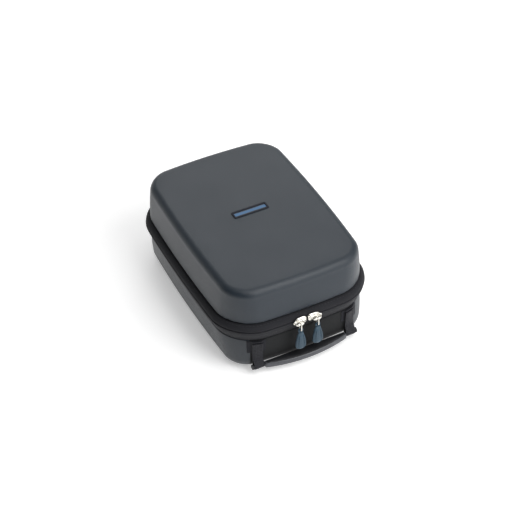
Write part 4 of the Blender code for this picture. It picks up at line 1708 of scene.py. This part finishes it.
    def neck_section(self, size: float) -> list[Pair]:
        """An oval section of the neck at a size."""
        turns = [2 * math.pi * k / 20 for k in range(20)]
        return [(self.neck / 2 * size * math.cos(t), 0.0009 * math.sin(t)) for t in turns]

    def build(self) -> None:
        """Build all pieces of this slider."""
        self.build_body()
        self.build_back()
        self.build_link()
        self.build_pull()


# ---- Handle ---------------------------------------------------------------------------------------
@dataclass
class Handle:
    """The moulded handle, the webbing that holds its ends and the patches behind the webbing.

    Attributes:
        form: The shared form.
        half_span: Half the length to the end of the bars.
        arch_half: Half the length of the bowed part.
        reach: From the axis to the outer edge at the middle.
        end_reach: The same at the ends of the bowed part.
        thick: Thickness of the moulded part.
        bar: Radius of the bars in the webbing loops.
        web_width: Width of the webbing.
        web_thick: Its thickness.
        lap_top: Height where the doubled webbing ends.
        leaves_wall: Height where the webbing leaves the wall.
        patch_width: Width of a patch.
        patch_height: Its height.
        patch_thick: Its thickness.
        cap_length: Length of the caps on the bars' ends.
        cap_grow: Radius of a cap against the bar's.
        web_step: Distance from row to row of the webbing's mesh.
        web_rib: Height of the webbing's ribs.
        patch_seam: From a patch's edge to its seam.
        pad_profile: The soft top's section, as (share of its width, height) pairs.
    """

    form: Form
    half_span: float = 0.0570
    arch_half: float = 0.0430
    reach: float = 0.0112
    end_reach: float = 0.0048
    thick: float = 0.0060
    bar: float = 0.0018
    web_width: float = 0.0100
    web_thick: float = 0.0010
    lap_top: float = 0.0380
    leaves_wall: float = 0.0200
    patch_width: float = 0.0180
    patch_height: float = 0.0150
    patch_thick: float = 0.0006
    cap_length: float = 0.0018
    cap_grow: float = 1.45
    web_step: float = 0.00035
    web_rib: float = 0.00009
    patch_seam: float = 0.0012
    pad_profile: tuple[Pair, ...] = (
        (0.0, -0.0002),
        (0.02, 0.0006),
        (0.12, 0.0010),
        (0.5, 0.0009),
        (0.88, 0.0010),
        (0.98, 0.0006),
        (1.0, -0.0002),
    )
    axis: Vector = field(init=False)

    def __post_init__(self) -> None:
        """Read the axis that the handle swings about from its joint."""
        joint = next(j for j in frame["joints"] if j["name"] == "handle_swing")
        self.axis = Vector(joint["pos_m"])

    @property
    def web_middle(self) -> float:
        """Distance from the case's middle to the middle of a webbing, inside the bar's cap."""
        return self.half_span - self.cap_length - CLEAR - self.web_width / 2

    def outer_edge(self, x: float) -> float:
        """Distance from the axis to the outer edge at a place across the case."""
        share = min(abs(x) / self.arch_half, 1.0)
        sagitta = self.reach - self.end_reach
        radius = (self.arch_half**2 + sagitta**2) / (2 * sagitta)
        return self.reach - radius + math.sqrt(radius**2 - (share * self.arch_half) ** 2)

    def build_grip(self) -> None:
        """Bowed moulded grip with a thick rolled outer edge, and round bars at its ends."""
        steps = 60
        rows = []
        for k in range(steps + 1):
            x = self.arch_half * (2 * k / steps - 1)
            rows.append(self.grip_section(x))
        ends = []
        for sign in (-1, 1):
            for share, size in ((0.25, 0.96), (0.5, 0.86), (0.8, 0.66), (1.0, 0.44)):
                ends.append(self.taper_section(sign * (self.arch_half + 0.0016 * share), size))
        rows = ends[3::-1] + rows + ends[4:]
        panel = Panel("handle_grip")
        panel.grid(rows, ring=True)
        panel.cap(rows[0], rows[-1])
        for sign in (-1, 1):
            span = (self.arch_half - 0.004, self.half_span - 0.001)
            path = [self.axis + ACROSS * (sign * x) for x in span]
            panel.tube(path, self.bar, sides=18, part=1)
            span = (self.half_span - self.cap_length, self.half_span)
            cap = [self.axis + ACROSS * (sign * x) for x in span]
            panel.tube(cap, self.bar * self.cap_grow, sides=18, part=1)
        settle(panel.build([HANDLE_SKIN, HANDLE_TOP]), Body.HANDLE, "handle_core")

    def grip_section(self, x: float) -> Row:
        """Section of the grip at a place across the case: a slab with a full, rounded outer side."""
        inner, outer = 0.0, self.outer_edge(x)
        half, round_out, round_in = self.thick / 2, 0.0016, 0.0010
        found = []
        centres = (
            (outer - round_out, -half + round_out, round_out, -90),
            (outer - round_out, half - round_out, round_out, 0),
            (inner + round_in, half - round_in, round_in, 90),
            (inner + round_in, -half + round_in, round_in, 180),
        )
        for out, high, radius, start in centres:
            for k in range(6):
                angle = math.radians(start + 18 * k)
                found.append((out + radius * math.cos(angle), high + radius * math.sin(angle)))
        return [Vector((x, self.axis.y - out, self.axis.z + high)) for out, high in found]

    def taper_section(self, x: float, size: float) -> Row:
        """Section past the end of the bowed part, shrunk towards the bar."""
        row = self.grip_section(math.copysign(self.arch_half, x))
        middle = Vector((x, self.axis.y - self.end_reach * 0.3, self.axis.z))
        return [middle + (Vector((x, point.y, point.z)) - middle) * size for point in row]

    def build_pad(self) -> None:
        """Soft black top that fills the grip between its edges."""
        steps = 50
        half = self.thick / 2
        rows = []
        for k in range(steps + 1):
            share = 2 * k / steps - 1
            x = self.arch_half * 0.992 * share
            inner, outer = 0.0008, self.outer_edge(x) - 0.0009
            end = min(1.0, (1 - abs(share)) / 0.05) ** 0.5
            row = []
            for out, high in self.pad_profile:
                y = self.axis.y - inner - (outer - inner) * out
                row.append(Vector((x, y, self.axis.z + half + high * end)))
            y = self.axis.y - inner - (outer - inner) * 0.5
            row.append(Vector((x, y, self.axis.z + half - 0.0006)))
            rows.append(row)
        panel = Panel("handle_soft_top")
        panel.grid(rows, ring=True)
        panel.cap(rows[0], rows[-1])
        rim = [Vector((r[4].x, r[4].y, r[4].z - 0.00005)) for r in rows[1:-1]]
        panel.stitches(rim, None, 0.0030, 0.00022, 1)
        settle(panel.build([HANDLE_TOP, THREAD]), Body.HANDLE, "handle_pad")

    def web_path(self, x: float) -> Row:
        """Middle line of the webbing at a place across the case.

        Args:
            x: The place.

        Returns:
            Points from the top of the outer layer, round the bar, to the top of the doubled one.
        """
        radius = self.bar + CLEAR + self.web_thick / 2
        off = self.patch_thick + 0.0006 + self.web_thick / 2
        top = self.form.base_top - 0.0006
        heights = (top, (top + self.lap_top) / 2, self.lap_top, self.leaves_wall)
        path = [Vector((x, self.form.front_face(x, z) - off, z)) for z in heights]
        for k in range(13):
            angle = -math.pi * k / 12
            y = self.axis.y + radius * math.cos(angle)
            path.append(Vector((x, y, self.axis.z + radius * math.sin(angle))))
        lap = self.web_thick + CLEAR
        for z in (self.leaves_wall, self.lap_top - 0.0003):
            path.append(Vector((x, self.form.front_face(x, z) - off - lap, z)))
        return path

    def build_webbing(self, side: Side) -> None:
        """One webbing loop with its ribs, and a boxed cross of stitching where it is sewn down.

        Args:
            side: Which end of the handle.
        """
        middle = side.value * self.web_middle
        line = respaced(self.web_path(middle), self.web_step)
        columns = 10
        rows_front, rows_back = [], []
        for k, (point, run) in enumerate(zip(line, tangents(line))):
            out = run.cross(ACROSS).normalized()
            ripple = self.web_rib * math.sin(math.pi * k * self.web_step / WEBBING.bar) ** 2
            half = self.web_thick / 2 + ripple
            xs = [middle + self.web_width * (c / columns - 0.5) for c in range(columns + 1)]
            curl = [1 - 0.35 * abs(2 * c / columns - 1) ** 6 for c in range(columns + 1)]
            level = max(point.z, 0.005)
            straight = self.form.front_face(middle, level)
            skew = [self.form.front_face(x, level) - straight for x in xs]
            fade = min(1.0, max(0.0, (point.z - self.axis.z) / (self.leaves_wall - self.axis.z)))
            places = [Vector((x, point.y + bend * fade, point.z)) for x, bend in zip(xs, skew)]
            rows_front.append([place + out * half * c for place, c in zip(places, curl)])
            rows_back.append([place - out * half * c for place, c in zip(places, curl)])
        panel = Panel("webbing_" + side.word)
        loops = [front + back[::-1] for front, back in zip(rows_front, rows_back)]
        panel.grid(loops, ring=True)
        panel.cap(loops[0], loops[-1])
        self.box_stitch(panel, middle)
        piece = panel.build([WEBBING, THREAD])
        settle(piece, Body.BASE, "handle_webbing_" + side.word)

    def box_stitch(self, panel: Panel, middle: float) -> None:
        """A box of stitching with a bar across it, on the webbing above the loop.

        Args:
            panel: The piece to add to.
            middle: Place of the webbing's middle line.
        """
        half = self.web_width / 2 - 0.0014
        off = self.patch_thick + 0.0009 + 2 * self.web_thick + 0.0001
        low, high = self.lap_top - 0.0096, self.lap_top - 0.0016
        corners = [(-half, low), (half, low), (half, high), (-half, high), (-half, low), (half, high)]
        for (a, z0), (b, z1) in zip(corners, corners[1:]):
            ends = []
            for across, z in ((a, z0), (b, z1)):
                x = middle + across
                ends.append(Vector((x, self.form.front_face(x, z) - off, z)))
            panel.stitches(ends, None, 0.0019, 0.00021, 1)

    def build_patch(self, side: Side) -> None:
        """Reinforcing patch between the case and the webbing, sewn round its edge.

        Args:
            side: Which end of the handle.
        """
        middle = side.value * self.web_middle
        top = self.form.base_top - 0.0006
        columns, levels = 16, 12
        rows = []
        for layer, sign in ((CLEAR, 1), (CLEAR + self.patch_thick, -1)):
            sheet = []
            for r in range(levels + 1):
                z = top - self.patch_height * (1 - r / levels)
                row = []
                for c in range(columns + 1):
                    x = middle + self.patch_width * (c / columns - 0.5)
                    row.append(Vector((x, self.form.front_face(x, z) - layer, z)))
                sheet.append(row)
            rows.append(sheet[:: -sign])
        panel = Panel("patch_" + side.word)
        panel.grid(rows[0] + rows[1], hoop=True)
        for end in (0, -1):
            panel.grid([[a[end], b[end]] for a, b in zip(rows[0], reversed(rows[1]))])
        inset = self.patch_seam
        off = CLEAR + self.patch_thick
        half = self.patch_width / 2 - inset
        foot, head = top - self.patch_height + inset, top - inset
        corners = [(-half, head), (-half, foot), (half, foot), (half, head)]
        for (a, z0), (b, z1) in zip(corners, corners[1:]):
            line = []
            for k in range(7):
                x, z = middle + a + (b - a) * k / 6, z0 + (z1 - z0) * k / 6
                line.append(Vector((x, self.form.front_face(x, z) - off, z)))
            panel.stitches(line, None, 0.0022, 0.0002, 1)
        settle(panel.build([PATCH, THREAD]), Body.BASE, "handle_patch_" + side.word)

    def build(self) -> None:
        """Build the handle and what holds it."""
        self.build_grip()
        self.build_pad()
        for side in Side:
            self.build_patch(side)
            self.build_webbing(side)


# ---- Badge ----------------------------------------------------------------------------------------
@dataclass
class Badge:
    """Raised rubber rim round a plain striped film, set in the lid's top.

    Attributes:
        form: The shared form.
        rim: Width of the rim.
        lift: How far the rim stands above the lid.
    """

    form: Form
    rim: float = 0.0021
    lift: float = 0.0011

    def outline(self, grow: float) -> list[Pair]:
        """Rounded outline of the badge, drawn in by an amount.

        Args:
            grow: How far in.

        Returns:
            The outline, counterclockwise, from the CAD piece's box.
        """
        low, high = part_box("badge_frame")
        half_x, half_y = (high.x - low.x) / 2 - grow, (high.y - low.y) / 2 - grow
        corner = max(0.0018 - grow, 0.0004)
        found = []
        for turn, (sx, sy) in enumerate(((1, 1), (-1, 1), (-1, -1), (1, -1))):
            for k in range(7):
                angle = math.pi / 2 * (turn + k / 6)
                a = sx * (half_x - corner) + corner * math.cos(angle)
                found.append((a, sy * (half_y - corner) + corner * math.sin(angle)))
        return found

    def build(self) -> None:
        """Build the rim and the film."""
        low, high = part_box("badge_frame")
        middle = (low + high) / 2
        level = self.form.top
        panel = Panel("badge_surround")
        ring = []
        section = (
            (0.0, -0.0006),
            (0.0, 0.0004),
            (0.0003, self.lift),
            (self.rim - 0.0003, self.lift),
            (self.rim, self.lift - 0.0004),
            (self.rim, -0.0006),
        )
        for inset, height in section:
            outline, z = self.outline(inset), level + height
            ring.append([Vector((middle.x + a, middle.y + b, z)) for a, b in outline])
        panel.grid(ring, ring=True, hoop=True)
        settle(panel.build([BADGE_RIM]), Body.LID, "badge_frame")
        film = Panel("badge_film")
        rows = []
        count = 12
        half_x, half_y = (high.x - low.x) / 2 - self.rim, (high.y - low.y) / 2 - self.rim
        for r in range(count + 1):
            b = half_y * (2 * r / count - 1)
            crown = 0.0003 * (1 - (2 * r / count - 1) ** 2)
            z = level + 0.0002 + crown
            places = [middle.x + half_x * (2 * c / 24 - 1) for c in range(25)]
            rows.append([Vector((x, middle.y + b, z)) for x in places])
        under = [[Vector((p.x, p.y, level - 0.0002)) for p in row] for row in reversed(rows)]
        film.grid(rows + under, hoop=True)
        for end in (0, -1):
            film.grid([[a[end], b[end]] for a, b in zip(rows, reversed(under))])
        settle(film.build([BADGE_FACE]), Body.LID, "badge_insert")


# ---- Inside ---------------------------------------------------------------------------------------
@dataclass
class Inside:
    """Linings, bound rims, cut foam, lid pad and net pocket.

    Attributes:
        form: The shared form.
        binding_width: Width of a rim binding.
        binding_round: Radius of its rounded edges.
        foam_round: Radius of the foam's cut edges.
        sharp: Degrees beyond which the foam's edges are rounded.
        net_cord: Thickness of the net.
        pad_round: Radius of the pad's soft edge.
        pad_drop: From the pad's face up to where its side straightens.
        face_steps: Rings on a lining's face.
        pad_steps: Rings on the pad's face.
    """

    form: Form
    binding_width: float = 0.0048
    binding_round: float = 0.0008
    foam_round: float = 0.0014
    sharp: float = 50.0
    net_cord: float = 0.0004
    pad_round: float = 0.0034
    pad_drop: float = 0.0036
    face_steps: int = 10
    pad_steps: int = 12

    def build_linings(self) -> None:
        """Brushed linings of both shells."""
        form, plan = self.form, self.form.plan
        runs = {
            "base": (form.base_top_inset, form.zip - form.rim_step, form.base_edge_levels, Body.BASE),
            "lid": (form.lid_foot_inset, form.zip + form.rim_step, form.lid_edge_levels, Body.LID),
        }
        for word, (inset, rim, edge, body) in runs.items():
            panel = Panel(word + "_inner_cloth")
            sheets = []
            for extra in (0.0, form.lining):
                depth = form.lining_depth + extra
                start = inset + form.flange_step + depth
                levels = [plan.level(start, rim)]
                levels += edge(depth, 8) if body is Body.LID else edge(depth, 8)[::-1]
                rows = [plan.ring(level) for level in levels]
                panel.grid(rows, ring=True)
                panel.face(rows[-1], self.face_steps)
                sheets.append(rows[0])
            panel.grid(sheets, ring=True)
            settle(panel.build([KNIT]), body, word + "_lining")

    def build_bindings(self) -> None:
        """Woven binding folded over each rim, with its row of stitching."""
        form, plan = self.form, self.form.plan
        for half, inset in ((Half.LOWER, form.base_top_inset), (Half.UPPER, form.lid_foot_inset)):
            node = ("base" if half is Half.LOWER else "lid") + "_rim_binding"
            low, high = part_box(node)
            outer = inset + form.flange_step
            inner = outer + self.binding_width
            radius = self.binding_round
            pairs = []
            corners = (
                (inner, high.z, -1, -1),
                (outer, high.z, 1, -1),
                (outer, low.z, 1, 1),
                (inner, low.z, -1, 1),
            )
            for turn, (edge, level, sa, sb) in enumerate(corners):
                for k in range(4):
                    angle = math.pi / 2 * (turn + k / 3)
                    a = edge + sa * radius + radius * math.cos(angle)
                    pairs.append((a, level + sb * radius + radius * math.sin(angle)))
            panel = Panel(("base" if half is Half.LOWER else "lid") + "_rim_edge")
            panel.grid([plan.ring(plan.level(a, b)) for a, b in pairs], ring=True, hoop=True)
            face = high.z if half is Half.LOWER else low.z
            seam = plan.ring(plan.level(inner - 0.0014, face))
            panel.stitches([*seam, seam[0]], None, 0.0032, 0.00025, 1)
            settle(panel.build([BINDING, THREAD]), half.body, node)

    def build_insert(self) -> None:
        """Foam insert with the monitor's pocket and two finger scoops cut in it."""
        node = frame["nodes"]["foam_insert"]
        mesh = node.data.copy()
        piece = bpy.data.objects.new("cut_foam", mesh)
        bpy.context.scene.collection.objects.link(piece)
        shape = bmesh.new()
        shape.from_mesh(mesh)
        bmesh.ops.remove_doubles(shape, verts=shape.verts, dist=1e-5)
        bmesh.ops.dissolve_limit(shape, angle_limit=math.radians(1), verts=shape.verts, edges=shape.edges)
        bmesh.ops.recalc_face_normals(shape, faces=shape.faces)
        shape.to_mesh(mesh)
        shape.free()
        mesh.materials.clear()
        mesh.materials.append(material_of(FOAM))
        rounding = piece.modifiers.new("soft_edges", "BEVEL")
        rounding.width = self.foam_round
        rounding.segments = 3
        rounding.limit_method = "ANGLE"
        rounding.angle_limit = math.radians(self.sharp)
        mesh.shade_smooth()
        mesh.set_sharp_from_angle(angle=math.radians(self.sharp))
        settle(piece, Body.BASE, "foam_insert")

    def build_pad(self) -> None:
        """Soft crowned pad inside the lid's top."""
        form = self.form
        low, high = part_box("lid_pad")
        inset = form.lid_top_inset + form.insert_depth
        corner = form.lid_top_corner - form.insert_depth
        levels = [Level(inset, high.z - 0.0022, corner), Level(inset - 0.0002, low.z + 0.0040, corner)]
        for sine, cosine in quarter(8)[1:]:
            drawn_in = self.pad_round * (1 - cosine)
            rise = self.pad_drop - self.pad_round * sine
            levels.append(Level(inset + drawn_in, low.z + rise, corner - drawn_in))
        rows = [form.plan.ring(level) for level in levels]
        panel = Panel("lid_cushion")
        panel.grid(rows, ring=True)
        for row, crown in ((rows[-1], -0.0001), (rows[0], 0.0)):
            panel.face(row, self.pad_steps, crown)
        piece = panel.build([KNIT])
        settle(piece, Body.LID, "lid_pad")

    def build_net(self) -> None:
        """Elastic net across the lid with a bound, slightly gathered mouth."""
        form = self.form
        low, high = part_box("net_pocket")
        height = (low.z + high.z) / 2
        wall = form.lid_wall(height)
        inset = wall.inset + form.insert_depth + form.lining
        ring = form.plan.ring(Level(inset, height, wall.corner - form.insert_depth))
        kept = [point for point in ring if point.y > low.y + 0.0005]
        kept.sort(key=lambda point: math.atan2(point.x, point.y))
        across = 40
        rows = []
        levels = 34
        for r in range(levels + 1):
            y = low.y + (max(p.y for p in kept) - low.y) * (1 - (1 - r / levels) ** 1.6)
            half = self.half_width_at(kept, y)
            sag = 0.0004 * math.sin(math.pi * r / levels)
            row = []
            for c in range(across + 1):
                z = height - sag * math.sin(math.pi * c / across)
                row.append(Vector((half * (2 * c / across - 1), y, z)))
            rows.append(row)
        panel = Panel("pocket_mesh")
        panel.grid(rows)
        piece = panel.build([NET])
        thick = piece.modifiers.new("cord", "SOLIDIFY")
        thick.thickness = self.net_cord
        thick.offset = 0
        settle(piece, Body.LID, "net_pocket")
        self.build_hem()

    @staticmethod
    def half_width_at(edge: Row, y: float) -> float:
        """Half the width of an outline at a place along it.

        Args:
            edge: Points of the outline.
            y: The place.

        Returns:
            The half width, read between the outline's points.
        """
        right = sorted((point for point in edge if point.x >= 0), key=lambda point: point.y)
        if y <= right[0].y:
            return right[0].x
        for before, after in zip(right, right[1:]):
            if before.y <= y <= after.y:
                share = (y - before.y) / max(after.y - before.y, 1e-9)
                return before.x + (after.x - before.x) * share
        return right[-1].x

    def build_hem(self) -> None:
        """Bound elastic hem along the net's mouth, with two rows of stitching."""
        low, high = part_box("net_pocket_hem")
        middle = (low + high) / 2
        half_y, half_z = (high.y - low.y) / 2, (high.z - low.z) / 2
        section = []
        for k in range(24):
            angle = 2 * math.pi * k / 24
            cosine, sine = math.cos(angle), math.sin(angle)
            a = half_y * math.copysign(abs(cosine) ** 0.5, cosine)
            section.append((a, half_z * math.copysign(abs(sine) ** 0.6, sine)))
        rows = []
        steps = 160
        for k in range(steps + 1):
            x = low.x + (high.x - low.x) * k / steps
            pucker = 1 + 0.08 * math.sin(2 * math.pi * k / 5)
            rows.append([Vector((x, middle.y + a, middle.z + b * pucker)) for a, b in section])
        panel = Panel("pocket_hem")
        panel.grid(rows, ring=True)
        panel.cap(rows[0], rows[-1])
        for share in (-0.55, 0.55):
            y = middle.y + half_y * share
            ends = [Vector((x, y, low.z + half_z * 0.12)) for x in (low.x + 0.002, high.x - 0.002)]
            panel.stitches(ends, None, 0.0030, 0.00026, 1)
        settle(panel.build([BINDING, THREAD]), Body.LID, "net_pocket_hem")

    def build(self) -> None:
        """Build all that is inside the case."""
        self.build_linings()
        self.build_bindings()
        self.build_insert()
        self.build_pad()
        self.build_net()


# ---- Studio ---------------------------------------------------------------------------------------
@dataclass(frozen=True)
class Lamp:
    """One soft area light that points at the case.

    Attributes:
        name: Its name.
        azimuth: Where it stands, in degrees round the case from the front.
        elevation: Degrees above the floor.
        distance: From the case.
        size: Its width and height.
        power: Watts.
    """

    name: str
    azimuth: float
    elevation: float
    distance: float
    size: Pair
    power: float


@dataclass
class Studio:
    """Camera, soft lights and the pale floor.

    Attributes:
        azimuth: Degrees of the camera round the case from the front.
        elevation: Degrees above the floor.
        roll: Degrees that the camera is turned about its own line of sight.
        distance: From the camera to the case.
        lens: Focal length in millimetres on a 36 mm sensor.
        aim: The point that the camera looks at.
        lamps: The lights.
        world: Strength of the even light from all round.
    """

    azimuth: float = -25.19
    elevation: float = 41.35
    roll: float = -1.74
    distance: float = 1.748
    lens: float = 123.3
    aim: Vector = field(default_factory=lambda: Vector((0.0005, -0.0031, 0.0463)))
    lamps: tuple[Lamp, ...] = (
        Lamp("front_softbox", 25.0, 48.0, 1.4, (0.9, 0.8), 10.2),
        Lamp("top_softbox", 0.0, 78.0, 1.4, (0.9, 0.8), 4.9),
        Lamp("low_front_softbox", 25.0, 20.0, 1.4, (0.9, 0.8), 4.6),
        Lamp("back_softbox", 160.0, 48.0, 1.4, (0.9, 0.8), 4.1),
        Lamp("low_back_softbox", 160.0, 20.0, 1.4, (0.9, 0.8), 2.0),
        Lamp("right_softbox", 115.0, 48.0, 1.4, (0.9, 0.8), 2.1),
        Lamp("low_right_softbox", 70.0, 20.0, 1.4, (0.9, 0.8), 2.0),
        Lamp("left_softbox", -150.0, 20.0, 1.4, (0.9, 0.8), 0.9),
    )
    world: float = 0.06

    @staticmethod
    def outward(azimuth: float, elevation: float) -> Vector:
        """Unit vector from the case towards a place round it."""
        a, e = math.radians(azimuth), math.radians(elevation)
        return Vector((math.sin(a) * math.cos(e), -math.cos(a) * math.cos(e), math.sin(e)))

    def build_camera(self) -> None:
        """The camera, with no shift and no depth of field."""
        data = bpy.data.cameras.new("camera")
        data.lens = self.lens
        data.sensor_width = 36.0
        data.clip_end = 20.0
        camera = bpy.data.objects.new("camera", data)
        bpy.context.scene.collection.objects.link(camera)
        back = self.outward(self.azimuth, self.elevation)
        camera.location = self.aim + back * self.distance
        turned = (-back).to_track_quat("-Z", "Y")
        camera.rotation_mode = "QUATERNION"
        camera.rotation_quaternion = turned @ Quaternion((0, 0, 1), math.radians(self.roll))
        bpy.context.scene.camera = camera

    def build_lights(self) -> None:
        """The soft lights and the even light round them."""
        for lamp in self.lamps:
            data = bpy.data.lights.new(lamp.name, "AREA")
            data.shape = "RECTANGLE"
            data.size, data.size_y = lamp.size
            data.energy = lamp.power
            light = bpy.data.objects.new(lamp.name, data)
            bpy.context.scene.collection.objects.link(light)
            back = self.outward(lamp.azimuth, lamp.elevation)
            light.location = back * lamp.distance
            light.rotation_euler = (-back).to_track_quat("-Z", "Y").to_euler()
        world = bpy.data.worlds.new("even_light")
        world.use_nodes = True
        background = world.node_tree.nodes["Background"]
        background.inputs["Color"].default_value = (1.0, 1.0, 1.0, 1.0)
        background.inputs["Strength"].default_value = self.world
        bpy.context.scene.world = world
        bpy.context.scene.view_settings.view_transform = "Standard"

    def build_floor(self) -> None:
        """A wide pale floor."""
        mesh = bpy.data.meshes.new("floor")
        half = 6.0
        corners = [(-half, -half, 0), (half, -half, 0), (half, half, 0), (-half, half, 0)]
        mesh.from_pydata(corners, [], [(0, 1, 2, 3)])
        mesh.materials.append(material_of(FLOOR))
        floor = bpy.data.objects.new("floor", mesh)
        bpy.context.scene.collection.objects.link(floor)

    def build(self) -> None:
        """Build the whole studio."""
        self.build_camera()
        self.build_lights()
        self.build_floor()


def main() -> None:
    """Build every piece in order."""
    logging.basicConfig(level=logging.INFO, format="%(name)s: %(message)s")
    Studio().build()
    form = Form.of_frame()
    shells = MouldedShells(form)
    shells.build_lid()
    shells.build_base()
    band = ZipBand(form)
    band.build_tapes()
    band.build_hinge()
    band.build_coils()
    for side in Side:
        ZipSlider(side, form).build()
    Handle(form).build()
    Badge(form).build()
    Inside(form).build()


if __name__ == "__main__":
    main()
